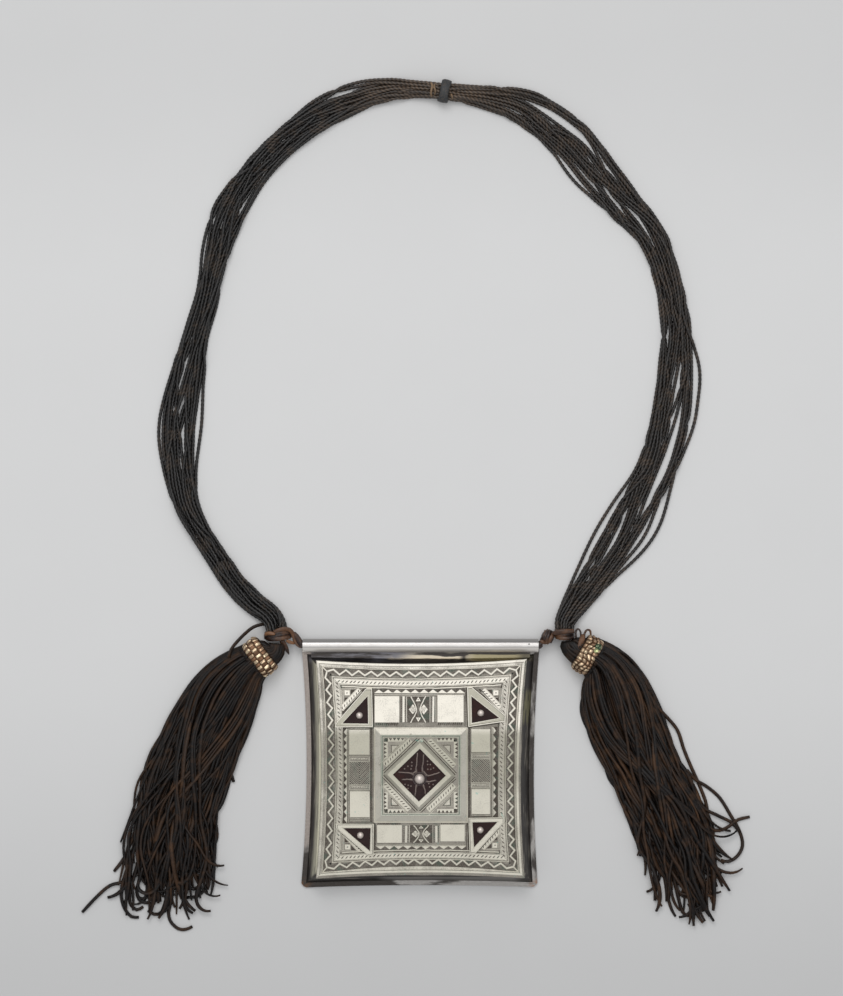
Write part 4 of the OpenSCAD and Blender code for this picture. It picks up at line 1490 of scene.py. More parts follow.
    def rope(
        self, start: Pair, end: Pair, wide: float, z: float, pitch: float = 1.4, tone: float = 1.0
    ) -> None:
        """A straight rope band: a bright ground, slanting dark dashes and a wire on each side.

        Args:
            start: Start of its middle line.
            end: End of its middle line.
            wide: Width between the wires.
            z: Height of what it lies on.
            pitch: Distance from dash to dash.
            tone: Brightness of the band.
        """
        a, b = np.array(start, float), np.array(end, float)
        t = unit(b - a)
        n = np.array([-t[1], t[0]])
        self.slab(np.stack([a, b]) + n * wide / 2, np.stack([a, b]) - n * wide / 2, z, 0.9 * tone)
        count = max(2, round(float(np.linalg.norm(b - a)) / pitch))
        at = a + (b - a) * ((np.arange(count) + 0.5) / count)[:, None]
        self.beads(at, (0.3 * wide, 0.2), math.atan2(t[1], t[0]) + 0.9, z + 0.03, 0.03, 0.08)
        for s in (-1, 1):
            self.ridge(np.stack([a, b]) + n * s * (wide / 2), 0.34, z, 0.16, 0.95 * tone)


@dataclass
class FaceBorder:
    """The bands that follow the bowed edge of the face plate.

    Attributes:
        sides: First corner and inward bow of each side, clockwise from the upper left.
        fades: Inset from the edge, and the share of the bow that a band keeps there.
        peaks: Number of zigzag peaks on each side.
        beads: Number of dashes along the rope band of a side.
        shares: Brightness of the rope band of each side, painted shade that is darkest on the left and right
            sides.
        grounds: Brightness of the ground under each side's zigzag.
        lines: Insets between which the rim of each side carries a painted highlight, and the brightness of
            that highlight.
        base: Height of the plate.
        raised: Height of its rope band.
        rim: Height of its rim.
        zigzag: Inset of the middle of the zigzag.
        rope: Inset of the middle of the rope band.
    """

    sides: tuple[Triple, ...] = ((-43.8, 45.4, 1.7), (44.6, 46, 2.2), (43.6, -45.8, 1.5), (-43.8, -46, 2.1))
    fades: tuple[tuple[float, ...], tuple[float, ...]] = (
        (0.0, 2.4, 7.2, 10.1, 12.0), (1.0, 0.9, 0.8, 0.7, 0.62)
    )
    peaks: tuple[int, int, int, int] = (15, 18, 15, 16)
    beads: int = 42
    shares: Four = (1.0, 0.78, 0.95, 0.78)
    grounds: Four = (0.27, 0.15, 0.2, 0.17)
    lines: tuple[Triple, ...] = ((0.12, 1.1, 0.89), (0.9, 1.9, 0.84), (1.15, 2.05, 0.88), (0.3, 1.3, 0.7))
    base: float = 10.0
    raised: float = 10.4
    rim: float = 10.8
    zigzag: float = 4.65
    rope: float = 8.67

    def side(self, number: int, inset: Array | float, t: Array) -> Array:
        """Points of a side drawn in by an inset.

        The point at the share t of the chord is moved inwards by bow (1 - (2t-1)²), with the
        bow times the fade of that inset.

        Args:
            number: Side, 0 for the top one and on clockwise.
            inset: Distance from the edge, one number or one for each point.
            t: Shares of the chord.

        Returns:
            Points in plan, of shape (len(t), 2).
        """
        a, b = np.array(self.sides[number]), np.array(self.sides[(number + 1) % 4])
        inset = np.broadcast_to(inset, t.shape)[:, None]
        start, end = a[:2] - inset * np.sign(a[:2]), b[:2] - inset * np.sign(b[:2])
        run = unit(b[:2] - a[:2])
        out = np.array([-run[1], run[0]])
        bow = a[2] * np.interp(inset, *self.fades) * (1 - (2 * t[:, None] - 1) ** 2)
        return start + (end - start) * t[:, None] - out * bow

    def loop(self, inset: float, count: int = 24) -> Array:
        """Closed line round the plate at an inset."""
        t = np.linspace(0, 1, count, endpoint=False)
        return np.concatenate([self.side(i, inset, t) for i in range(4)])

    def build(self, finish: bpy.types.Material) -> bpy.types.Object:
        """Lays the wires, the zigzag on its dark ground, and the rope.

        Args:
            finish: Material of the worked silver.

        Returns:
            The piece.
        """
        r = Relief()
        for number in range(4):
            self.grounds_of(r, number)
            self.zigzag_of(r, number)
            self.rope_of(r, number)
        t = np.linspace(0, 1, 40)
        widen = 1.25 * (1 - (2 * t - 1) ** 2)
        r.slab(self.side(2, 2.3, t), self.side(2, 2.5 + widen, t), self.base, 0.78, 0.6)
        wires = (
            (2.62, 0.42, self.base, 0.5, 1.0), (6.75, 0.5, self.base, 0.42, 0.95),
            (7.62, 0.26, self.raised, 0.12, 1.0), (9.98, 0.26, self.raised, 0.12, 0.95),
        )
        for inset, wide, z, rise, tone in wires:
            r.ridge(self.loop(inset), wide, z, rise, tone, closed=True)
        piece = r.shell.piece("border_relief", finish, smooth=False)
        return piece

    def grounds_of(self, r: Relief, number: int) -> None:
        """Lays the plain grounds of one side, from the rim to the panels.

        Args:
            r: Relief to lay them in.
            number: Side, 0 for the top one and on clockwise.
        """
        t = np.linspace(0, 1, 40)
        rim, rope = self.rim, self.raised
        edge, inner, shine = self.lines[number]
        last = 10.9 - 0.45 * (number % 2 == 0)
        # On the rim, the band outside edge is painted shade of its rounded edge, and the band from edge to
        # inner is a painted highlight as bright as shine, with a dark line and a slightly dimmer band inside
        # it. The rope band takes its side's painted shade from shares.
        grounds = (
            (0.0, edge, rim, 0.42), (edge + 0.04, inner, rim, shine), (inner + 0.04, inner + 0.3, rim, 0.3),
            (inner + 0.34, 2.35, rim, 0.8 * shine), (2.42, 6.95, self.base, self.grounds[number]),
            (10.12, last, self.base, 0.2), (7.75, 9.6, rope, 0.93 * self.shares[number]),
            (9.66, 9.8, rope, 0.1), (7.3, 7.42, rope, 0.2),
        )
        for outer, inner, z, tone in grounds:
            r.slab(self.side(number, outer, t), self.side(number, inner, t), z, tone)

    def zigzag_of(self, r: Relief, number: int) -> None:
        """Lays the zigzag of one side, and a tile under each of its outer peaks.

        Args:
            r: Relief to lay it in.
            number: Side.
        """
        z, count = self.base + 0.03, 2 * self.peaks[number] + 1
        share = np.arange(count) / (count - 1)
        widen = 1.15 * (1 - (2 * share - 1) ** 2) * (number == 2)
        middle = self.side(number, self.zigzag + widen, share)
        out = across(middle)
        aside = np.where(np.arange(count) % 2, 0.95, -1.0)
        aside[[0, -1]] = 0.0
        r.ridge(middle + out * aside[:, None], 0.88, z, 0.32, 1.0)
        mitre = [self.side(number, inset, np.zeros(1))[0] for inset in (self.zigzag, 2.9)]
        r.ridge(np.stack(mitre), 0.62, z, 0.3, 1.0)
        foot, turn = middle[1::2], out[1::2]
        run = np.stack([turn[:, 1], -turn[:, 0]], axis=1)
        corners = ((-1.9, -1.7), (1.9, -1.7), (0.95, -0.75), (-0.95, -0.75))
        quad = [foot + run * x + turn * y for x, y in corners]
        r.tiles(np.stack(quad, axis=1), z, 0.05, 0.13 + 1.2 * self.grounds[number], 0.05)

    def rope_of(self, r: Relief, number: int) -> None:
        """Lays the dashes of one side's rope band, and the wire inside it.

        Args:
            r: Relief to lay them in.
            number: Side.
        """
        at = (np.arange(self.beads) + 0.5) / self.beads
        middle = self.side(number, self.rope, at)
        run = np.gradient(middle, axis=0)
        slant = np.arctan2(run[:, 1], run[:, 0]) + 0.78
        r.beads(middle, (0.78, 0.24), slant, self.raised + 0.03, 0.03, 0.2)
        if number % 2 == 0:
            line = self.side(number, 10.8, np.linspace(0, 1, 40))
            # The wire inside the rope band takes the same painted shade as its side.
            r.ridge(line, 0.62, self.base, 0.3, self.shares[number])


@dataclass
class FaceField:
    """The worked panels and corners between the border and the raised square.

    Attributes:
        base: Height of the plate.
        low_pad: Height of the engraved panels.
        bezel: Height of the corner bezels.
        frames: Outline of each corner bezel, clockwise from the upper left.
        stones: Outline of the stone in each.
    """

    base: float = 10.0
    low_pad: float = 10.2
    bezel: float = 11.0
    frames: tuple[tuple[Pair, ...], ...] = (
        ((-19.9, 17.4), (-36, 17.4), (-35.6, 19), (-22.6, 33.8), (-20.3, 33.8)),
        ((19.9, 17.5), (19.4, 34.3), (21.4, 34.3), (35.8, 22), (35.6, 19.8)),
        ((20, -20.5), (35.2, -20.3), (35.2, -22), (22.8, -35.6), (20.5, -35.8)),
        ((-19.5, -23), (-19.7, -36.4), (-21.8, -36.4), (-35.4, -24.8), (-35.6, -23)),
    )
    stones: tuple[tuple[Pair, ...], ...] = (
        ((-22.2, 30.4), (-32.7, 19.1), (-21.9, 18.9)), ((21.3, 30.4), (32.9, 21.3), (21.5, 19.2)),
        ((21.7, -22.4), (32.2, -22.2), (22.4, -32.8)), ((-32.4, -24.8), (-20.9, -24.8), (-21.2, -34.4)),
    )

    def corner(self, r: Relief, apex: Pair, way: tuple[int, int]) -> None:
        """The worked corner outside a triangular bezel.

        Args:
            r: Relief to lay it in.
            apex: Inner corner of the rope band.
            way: Signs of the directions from the apex into the corner piece.
        """

        def place(points: list[Pair]) -> Array:
            """Points counted inwards from the apex, in plan."""
            return np.array(apex) + np.array(points) * way

        z = self.base
        triangle = place([(0.1, 0.1), (10.6, 0.1), (0.1, 10.8)])
        r.tiles(triangle[None], z, 0.04, 0.5, 0.02)
        r.tiles(place([(0.9, 10.3), (1.5, 11.1), (10.8, 0.7), (10.1, 0.2)])[None], z + 0.04, 0.03, 0.04, 0.02)
        r.rope(tuple(place([(0.9, 9.0)])[0]), tuple(place([(8.8, 0.9)])[0]), 2.1, z + 0.04)
        r.tiles(place([(2.3, 1.0), (4.6, 1.0), (4.6, 3.2), (2.3, 3.2)])[None], z + 0.04, 0.3, 1.0)
        dark = [place([(4.9, 0.8), (6.9, 0.8), (4.9, 2.9)]), place([(2.3, 3.6), (4.4, 3.6), (2.3, 5.8)])]
        r.tiles(np.stack(dark), z + 0.04, 0.05, 0.03, 0.05)
        r.beads(place([(3.4, 2.1)]), (0.35, 0.35), 0.0, z + 0.3, 0.12, 0.5)
        for d in (0.55, 1.15, 1.75):
            r.ridge(place([(d, 0.9), (d, 8.6 - 1.2 * d)]), 0.24, z + 0.04, 0.1, 0.9)
        for d, end in ((0.45, 8.6), (3.9, 5.0)):
            r.ridge(place([(0.9 if d < 1 else 2.4, d), (end, d)]), 0.22, z + 0.04, 0.1, 0.9)

    def motif(self, r: Relief, x: float, low: float, high: float) -> None:
        """The engraved panel of two bowed lines, diamonds and triangles.

        Args:
            r: Relief to lay it in.
            x: Its middle.
            low: Its lower edge.
            high: Its upper edge.
        """
        z, half, mid = self.low_pad, (high - low) / 2, (high + low) / 2
        slim = half / 5.7
        r.field(x - 4.7, x + 4.8, low, high, z, 0.13)
        for s in (-1, 1):
            bent = np.array([(3.1, 1.0), (1.7, 0.5), (0.75, 0.0), (1.6, -0.5), (3.2, -1.0)])
            bow = bent * (s, half) + (x, mid)
            r.ridge(smooth_rows(bow, 0.8), 0.55, z + 0.03, 0.24, 1.0)
            kite = np.array([(2.3 - 1.75, 0), (2.3, 2.3 * slim), (2.3 + 1.75, 0), (2.3, -2.3 * slim)])
            r.tiles((kite * (s, 1) + (x, mid))[None], z + 0.03, 0.2, 0.86)
            for d in (-0.8, -0.25, 0.3, 0.85):
                line = np.array([(1.5 + d, -1.2 * slim), (2.5 + d, 1.2 * slim)]) * (s, 1) + (x, mid)
                r.ridge(line, 0.2, z + 0.23, 0.03, 0.35)
            peak = np.array([(-1.15, 0.62), (1.15, 0.62), (0, 0.97)]) * (1, s * half) + (x, mid)
            r.tiles(peak[None], z + 0.03, 0.26, 1.0)
            r.beads(np.array([(x, mid + s * 0.74 * half)]), (0.28, 0.28), 0.0, z + 0.27, 0.06, 0.2)
        for d in (-0.35, 0.0, 0.35):
            r.ridge(
                np.array([(x + d, mid - 0.52 * half), (x + d, mid + 0.52 * half)]), 0.2, z + 0.03, 0.1, 0.6
            )

    def column(self, r: Relief, left: float, right: float, low: float, high: float) -> None:
        """A bright upright strip between two rows of dark dots.

        Args:
            r: Relief to lay it in.
            left: Left edge.
            right: Right edge.
            low: Lower edge.
            high: Upper edge.
        """
        z, wide = self.low_pad, right - left
        r.field(left, right, low, high, z, 0.36)
        for x, width in ((left + wide / 2, 0.38 * wide), (right - 0.15, 0.26)):
            r.ridge(np.array([(x, low + 0.2), (x, high - 0.2)]), width, z, 0.16, 0.95)
        count = round((high - low) / 0.8)
        for x in (left + wide * 0.2, left + wide * 0.78):
            r.strokes((x, low + 0.2), (x, high - 0.2), count, (0.18, 0.0), 0.32, z + 0.03, 0.02)

    def hatched(self, r: Relief, left: float, right: float, low: float, high: float, chevron: bool) -> None:
        """A hatched panel between two barred strips.

        Args:
            r: Relief to lay it in.
            left: Left edge.
            right: Right edge.
            low: Lower edge.
            high: Upper edge.
            chevron: Whether the left half slants the other way.
        """
        z, middle = self.low_pad, (left + right) / 2
        for bottom, top in ((high - 2.2, high - 0.1), (low + 0.1, low + 2.0)):
            r.field(left + 0.2, right - 0.2, bottom, top, z, 0.45)
            y = (bottom + top) / 2
            r.ridge(np.array([(left + 0.5, y), (right - 0.5, y)]), 0.7, z + 0.03, 0.14, 0.82)
            r.strokes((left + 0.6, y), (right - 0.6, y), 10, (0.0, 0.2), 0.26, z + 0.16, 0.15)
            for y in (bottom + 0.15, top - 0.15):
                r.ridge(np.array([(left + 0.3, y), (right - 0.3, y)]), 0.22, z + 0.03, 0.1, 0.8)
        bottom, top = low + 2.2, high - 2.4
        r.field(left + 0.1, right - 0.1, bottom, top, z, 0.10)
        pitch, tall = 0.86, top - bottom
        spans = [(left + 0.2, middle, -1.0), (middle, right - 0.2, 1.0)]
        if not chevron:
            spans = [(left + 0.2, right - 0.2, -1.0)]
        for a, b, slant in spans:
            wide = b - a
            starts = np.arange(-wide, tall, pitch) + 0.3
            for y0 in starts:
                x0, x1 = max(0.0, -y0), min(wide, tall - y0)
                if x1 - x0 > 0.3:
                    line = np.array([(x0, y0 + x0), (x1, y0 + x1)])
                    if slant < 0:
                        line = np.array([(wide, 0.0), (wide, 0.0)]) + line * (-1, 1)
                    r.ridge(line + (a, bottom), 0.36, z + 0.03, 0.12, 0.66)

    def build(self, finish: bpy.types.Material) -> bpy.types.Object:
        """Lays the corners, the motifs, the columns, the hatched panels and the teeth.

        Args:
            finish: Material of the worked silver.

        Returns:
            The piece.
        """
        r = Relief(rng=np.random.default_rng(52))
        z = self.base
        for frame_line, stone_line in zip(self.frames, self.stones):
            # On each bezel, the bright line and the bright line round its stone are painted highlights on
            # bevelled edges, and the dark line just inside the bright one is painted shade; the dark line
            # outside the bezel is a dark joint.
            wires = (
                (frame_line, 1.03, 0.6, z, 0.08), (frame_line, 0.965, 0.4, self.bezel, 1.0),
                (frame_line, 0.92, 0.18, self.bezel, 0.2), (stone_line, 1.06, 0.34, self.bezel, 1.0),
            )
            for line, share, wide, on, tone in wires:
                middle = np.mean(line, axis=0)
                r.ridge(middle + (np.array(line) - middle) * share, wide, on, 0.3 * wide, tone, closed=True)
        self.corner(r, (-34.2, 33.9), (1, -1))
        self.corner(r, (35.0, 33.9), (-1, -1))
        self.corner(r, (-34.0, -34.9), (1, 1))
        self.corner(r, (34.6, -34.2), (-1, 1))
        self.motif(r, -0.95, 19.4, 30.3)
        self.motif(r, 0.2, -31.0, -23.6)
        columns = (
            (-8.6, -5.7, 19.4, 30.4), (4.0, 6.6, 19.4, 30.4), (-7.5, -4.6, -31, -23.6),
            (5.1, 8.1, -31, -23.6),
        )
        for edges in columns:
            self.column(r, *edges)
        self.hatched(r, -29.8, -21.3, -8.8, 5.2, True)
        self.hatched(r, 21.3, 29.1, -7.9, 6.4, False)
        self.rows_of_teeth(r)
        self.strips(r)
        piece = r.shell.piece("panel_relief", finish, smooth=False)
        return piece

    def rows_of_teeth(self, r: Relief) -> None:
        """Lays the row of teeth between the rope band and the panels on each side.

        Args:
            r: Relief to lay them in.
        """
        z = self.base
        rows = (
            ((-19.3, 31.2), (18.5, 31.2), 1.35, 10, 0.95, 0.18),
            ((19.1, -31.8), (-18.7, -31.8), 1.35, 10, 0.88, 0.18),
            ((-30.3, -22.6), (-30.3, 16.9), 1.25, 13, 0.85, 0.04),
            ((29.8, 17.6), (29.8, -20.0), 1.25, 11, 0.82, 0.04),
        )
        clear = 0.015
        for start, end, tall, count, tone, ground in rows:
            a, b = np.array(start), np.array(end)
            up = unit(np.array([a[1] - b[1], b[0] - a[0]]))
            r.slab(np.stack([a, b]) + up * 2.45, np.stack([a, b]) - up * 0.4, z + clear, ground)
            r.teeth(tuple(a + up * 0.66), tuple(b + up * 0.66), count, tall, z + 0.03, 0.16, tone, 0.98)
            for d, wide in ((-0.2, 0.3), (0.5, 0.42)):
                r.ridge(np.stack([a, b]) + up * d, wide, z + 0.03, 0.16, tone)

    def strips(self, r: Relief) -> None:
        """Lays the narrow strips of strokes beside the panels, the lines between them, and painted highlights
        on the upper arms of the two lower bezels.

        Args:
            r: Relief to lay them in.
        """
        z = self.base
        combs = (
            (-19.0, -9.0, 18.6, 0.6), (7.0, 18.0, 18.7, 0.6), (-18.2, -7.8, -23.1, 0.35),
            (8.4, 18.4, -23.0, 0.35),
        )
        for x0, x1, y, tall in combs:
            r.field(x0, x1, y - tall, y + tall, z, 0.4)
            count, arm = round((x1 - x0) / 0.9), (0.03, 0.8 * tall)
            for shift in (0.0, 0.31):
                start, end = (x0 + shift, y + shift), (x1 + shift - 0.6, y + shift)
                r.strokes(start, end, count, arm, 0.3, z + 0.03, 0.02)
        for x, y0, y1 in ((-20.55, -22.4, 17.1), (20.55, -20.2, 17.2)):
            r.field(x - 0.55, x + 0.5, y0, y1, z, 0.12)
            r.ridge(np.array([(x + 0.3, y0), (x + 0.3, y1)]), 0.2, z + 0.02, 0.16, 0.55)
            r.strokes((x - 0.3, y0), (x - 0.3, y1), 36, (0.2, 0.05), 0.5, z + 0.03, 0.02)
        gaps = ((-19.55, 17.8, 33.2), (18.65, 17.8, 33.0), (-18.85, -35.2, -23.2), (19.25, -34.9, -22.9))
        for x, y0, y1 in gaps:
            r.field(x - 0.14, x + 0.14, y0, y1, z, 0.05)
        # Painted highlights along the upper arms of the two lower bezels.
        for x0, x1, y in ((-34.2, -19.9, -23.85), (20.5, 34.6, -21.25)):
            r.field(x0, x1, y - 0.5, y + 0.5, self.bezel, 1.0)
        level = (
            (5.55, -29.8, -21.4), (6.7, 21.3, 29.1), (-9.1, -29.7, -21.3), (-8.2, 21.3, 29.1),
            (16.8, -29.9, -21.4), (-20.9, -29.6, -21.3), (-21.7, -29.6, -21.3), (17.05, 21.3, 29.1),
            (-19.6, 21.4, 29.1),
        )
        for y, x0, x1 in level:
            r.ridge(np.array([(x0, y), (x1, y)]), 0.36, z, 0.36, 0.75)


@dataclass
class RaisedSquare:
    """The worked top of the raised square and the lines on the diamond bezel and its stone.

    Attributes:
        top: Height of the square's top.
        edges: Left, right, lower and upper edge of its top.
        middle: Middle of the diamond.
        turn: Turn of the diamond in degrees.
        stone: Height of the diamond inlay.
    """

    top: float = 11.6
    edges: Four = (-16.6, 16.8, -19.6, 14.3)
    middle: Pair = (-0.5, -2.5)
    turn: float = 44.0
    stone: float = 12.1

    def build(self, finish: bpy.types.Material) -> bpy.types.Object:
        """Lays the frame line and edge lines, which carry painted highlights, the rope bands along the
        diamond, and the four corners.

        Args:
            finish: Material of the worked silver.

        Returns:
            The piece.
        """
        r = Relief(rng=np.random.default_rng(53))
        z, base = self.top, 10.08
        left, right, low, high = self.edges
        r.field(left + 0.9, right - 0.9, low + 0.9, high - 0.9, z, 0.56)
        # The bright ridges at the foot of the slopes and along the edge of the top are painted highlights,
        # and the dimmer ridge between the two edge lines is painted shade.
        r.ridge(self.outline(-2.8), 0.5, base, 0.3, 0.95, closed=True)
        for inset, wide, tone, tint in (
            (0.2, 0.44, 1.0, 0.1), (0.62, 0.34, 0.45, 0.14), (1.02, 0.36, 0.95, 0.06)
        ):
            r.ridge(self.outline(inset), wide, z, 0.16, tone, True, tint)
        centre = np.array(self.middle)
        for quarter in range(4):
            a = math.radians(self.turn) + quarter * math.pi / 2
            out, along = np.array([math.cos(a), math.sin(a)]), np.array([-math.sin(a), math.cos(a)])
            for d, tone in ((10.95, 0.05), (11.35, 0.95), (11.75, 0.08), (14.75, 0.9)):
                reach = 10.4 - 0.2 * (d - 11)
                line = [centre + out * d - along * reach, centre + out * d + along * (reach - 0.3)]
                r.ridge(np.stack(line), 0.32, z + 0.03, 0.14, tone)
            rope = [tuple(centre + out * 13.1 + along * reach) for reach in (-7.6, 7.6)]
            r.rope(*rope, 2.3, z + 0.03)
        for sx, sy, x, y in (
            (-1, 1, left, high), (1, 1, right, high), (-1, -1, left, low), (1, -1, right, low)
        ):
            self.corner(r, sx, sy, x, y)
        r.beads(np.array([(0.0, 12.1), (0.5, 11.5), (-0.7, 11.5)]), (0.9, 0.6), 0.6, z + 0.05, 0.3, 1.0, 0.15)
        r.beads(np.array([(0.05, 11.4)]), (0.42, 0.3), 0.0, z + 0.33, 0.1, 0.1, 0.7)
        piece = r.shell.piece("square_relief", finish, smooth=False)
        return piece

    def outline(self, inset: float) -> Array:
        """Corners of the square's top.

        Args:
            inset: How far they are drawn in, or, where it is negative, out.

        Returns:
            The four corners in plan.
        """
        left, right, low, high = self.edges
        x, y = (left + inset, right - inset), (low + inset, high - inset)
        return np.array([(x[0], y[0]), (x[1], y[0]), (x[1], y[1]), (x[0], y[1])])

    def corner(self, r: Relief, sx: int, sy: int, x: float, y: float) -> None:
        """Lays two toothed strips and a framed triangle in a corner of the square.

        Args:
            r: Relief to lay them in.
            sx: Sign of the direction to the corner in x.
            sy: The same in y.
            x: Place of the corner in x.
            y: The same in y.
        """
        z = self.top
        for arm in ((1.0, 0.0), (0.0, 1.0)):
            run = np.array(arm) * (-sx, -sy)
            inward = np.array(arm)[::-1] * (-sx, -sy)
            start = np.array([x, y]) + inward * 1.35 + run * 1.5
            end = start + run * 8.4
            side = np.stack([start, end, end + inward * 1.5, start + inward * 1.5])
            r.tiles(side[None], z + 0.03, 0.1, 0.95, 0.05)
            if run[0] * inward[1] - run[1] * inward[0] <= 0:
                start, end = end, start
            r.teeth(tuple(start), tuple(end), 5, 1.1, z + 0.13, 0.02, 0.14, 0.86)
        inner = np.array(
            [(x - sx * 3.9, y - sy * 3.9), (x - sx * 8.3, y - sy * 3.9), (x - sx * 3.9, y - sy * 8.5)]
        )
        r.ridge(inner, 0.3, z + 0.03, 0.16, 0.85, closed=True)
        middle = inner.mean(axis=0)
        r.tiles(inner[None] * 0.78 + middle * 0.22, z + 0.03, 0.04, 0.2, 0.02)
        r.tiles(inner[None] * 0.62 + middle * 0.38, z + 0.06, 0.16, 0.82)

    def build_stone_lines(self, finish: bpy.types.Material) -> bpy.types.Object:
        """Lays the double-lined cross, the ring round the stud and the dots on the stone.

        Args:
            finish: Material of the lines.

        Returns:
            The piece.
        """
        r = Relief(rng=np.random.default_rng(54))
        z = self.stone
        lines = (
            ((-1.7, -1.6), (-1.9, 0.4), (-1.5, 3.4), (-1.35, 6.8)),
            ((0.9, -1.4), (0.75, 0.6), (1.1, 3.2), (1.3, 6.2)),
            ((-2.7, -2.6), (-4.2, -1.7), (-6.4, -1.5), (-9.4, -1.2)),
            ((-2.8, -4.6), (-4.6, -4.3), (-6.0, -4.25), (-7.9, -4.5)),
            ((1.9, -2.4), (3.6, -2.8), (5.6, -2.2), (8.3, -1.4)),
            ((2.0, -5.1), (3.2, -5.3), (4.6, -5.1), (6.6, -4.6)),
            ((-1.6, -6.2), (-1.9, -7.6), (-2.1, -9.4), (-2.4, -11.4)),
            ((1.0, -6.3), (1.6, -7.8), (1.9, -9.0), (2.0, -10.6)),
            ((1.1, -0.9), (2.2, -2.0), (3.2, -2.7)), ((-1.9, -0.9), (-2.5, -1.5), (-3.6, -1.9)),
        )
        for line in lines:
            r.ridge(smooth_rows(np.array(line), 0.7), 0.6, z, 0.14, 0.85)
            r.ridge(smooth_rows(np.array(line[:2]), 0.7), 0.95, z, 0.1, 0.7)
        a = np.linspace(0, 2 * math.pi, 32, endpoint=False)
        ring = np.stack([-0.4 + 2.75 * np.cos(a), -4.1 + 2.6 * np.sin(a)], axis=1)
        r.ridge(ring, 0.6, z, 0.16, 0.45, closed=True)
        dots = (
            (-3.6, 2.8), (-3.7, 1.3), (-5.3, 1.2), (-6.7, 0.1), (-4.1, 0.0), (2.9, 1.9), (4.1, 1.9),
            (3.0, -0.1), (4.3, -0.1), (5.4, 0.4), (2.8, 3.3), (-6.5, -6.4), (-5.2, -6.8), (-5.2, -8.1),
            (5.3, -6.4), (3.8, -7.4), (-3.9, -7.2), (3.6, -6.2),
        )
        r.beads(np.array(dots), (0.38, 0.38), 0.0, z, 0.16, 1.0)
        piece = r.shell.piece("stone_lines", finish)
        return piece


@dataclass
class Studio:
    """Camera, lights and floor.

    Attributes:
        centre: Plan point in the middle of the picture.
        scale: Millimetres a pixel of the photograph, at the height of the case.
        lens: Focal length in millimetres.
        level: Height above the surface at which the scale holds.
    """

    centre: Pair = (0.4, 113.4)
    scale: float = 0.42
    lens: float = 130.0
    level: float = 6.0

    def camera(self) -> None:
        """Looks straight down, with the photograph's frame: distance = lens x view / 36."""
        data = bpy.data.cameras.new("camera")
        data.lens, data.sensor_width = self.lens, 36.0
        data.clip_start, data.clip_end = 0.05, 20.0
        camera = bpy.data.objects.new("camera", data)
        away = self.lens / 36.0 * PHOTO_H * self.scale + self.level
        camera.location = (self.centre[0] * MM, self.centre[1] * MM, away * MM)
        bpy.context.scene.collection.objects.link(camera)
        bpy.context.scene.camera = camera

    def lamp(self, name: str, at: Triple, size: float, watts: float) -> None:
        """Adds a square soft light that faces the pendant.

        Args:
            name: Name of the light.
            at: Its place in metres.
            size: Length of its edge in metres.
            watts: Its power.
        """
        data = bpy.data.lights.new(name, "AREA")
        data.size, data.energy = size, watts
        lamp = bpy.data.objects.new(name, data)
        aim = np.array([0.0, 0.1, 0.0]) - np.array(at)
        lamp.location = at
        tilt = math.atan2(math.hypot(aim[0], aim[1]), -aim[2])
        lamp.rotation_euler = (tilt, 0.0, math.atan2(aim[1], aim[0]) - math.pi / 2)
        bpy.context.scene.collection.objects.link(lamp)

    def build(self) -> None:
        """Adds the lights, the floor and its material."""
        self.lamp("top_light", (-0.2, 1.0, 1.1), 0.55, 3.2)
        self.lamp("soft_light", (0.0, 0.34, 1.15), 1.25, 6.2)
        world = bpy.data.worlds.new("studio")
        world.use_nodes = True
        sky = world.node_tree.nodes["Background"]
        sky.inputs["Color"].default_value = (0.86, 0.88, 0.90, 1.0)
        sky.inputs["Strength"].default_value = 0.5
        bpy.context.scene.world = world
        bpy.context.scene.view_settings.view_transform = "Standard"
        self.floor()

    def floor(self) -> None:
        """Adds the floor: grey paper, with painted shade where the light falls off below the pendant and
        above the loop.
        """
        g = Graph("studio_paper")
        y = g.axes()[1]
        # Painted shade: the floor is darker below the pendant and above the loop, where the light falls off.
        painted_falloff = g.calc("ADD", g.fit(y, 0.06, -0.12, (0.0, 0.17)), g.fit(y, 0.2, 0.31, (0.0, 0.09)))
        paper = g.mix(g.noise(40.0), (0.735, 0.73, 0.725), (0.755, 0.75, 0.745))
        finish = g.finish(g.mix(painted_falloff, paper, (0.02, 0.02, 0.02)), 0.9, Specular_IOR_Level=0.1)
        half, level = 3.0, -0.00012
        corners = [(x * half, y * half, level) for x, y in ((-1, -1), (1, -1), (1, 1), (-1, 1))]
        mesh = bpy.data.meshes.new("floor")
        mesh.from_pydata(corners, [], [(0, 1, 2, 3)])
        mesh.materials.append(finish)
        floor = bpy.data.objects.new("floor", mesh)
        bpy.context.scene.collection.objects.link(floor)


def dress_node(name: str, finish: bpy.types.Material) -> None:
    """Gives a CAD node that stays its material.

    Args:
        name: Name of the node.
        finish: The material.
    """
    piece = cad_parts[name]
    piece = bpy.data.objects[piece] if isinstance(piece, str) else piece
    piece.data.materials.clear()
    piece.data.materials.append(finish)
    log.info("%s: dressed in %s", name, finish.name)


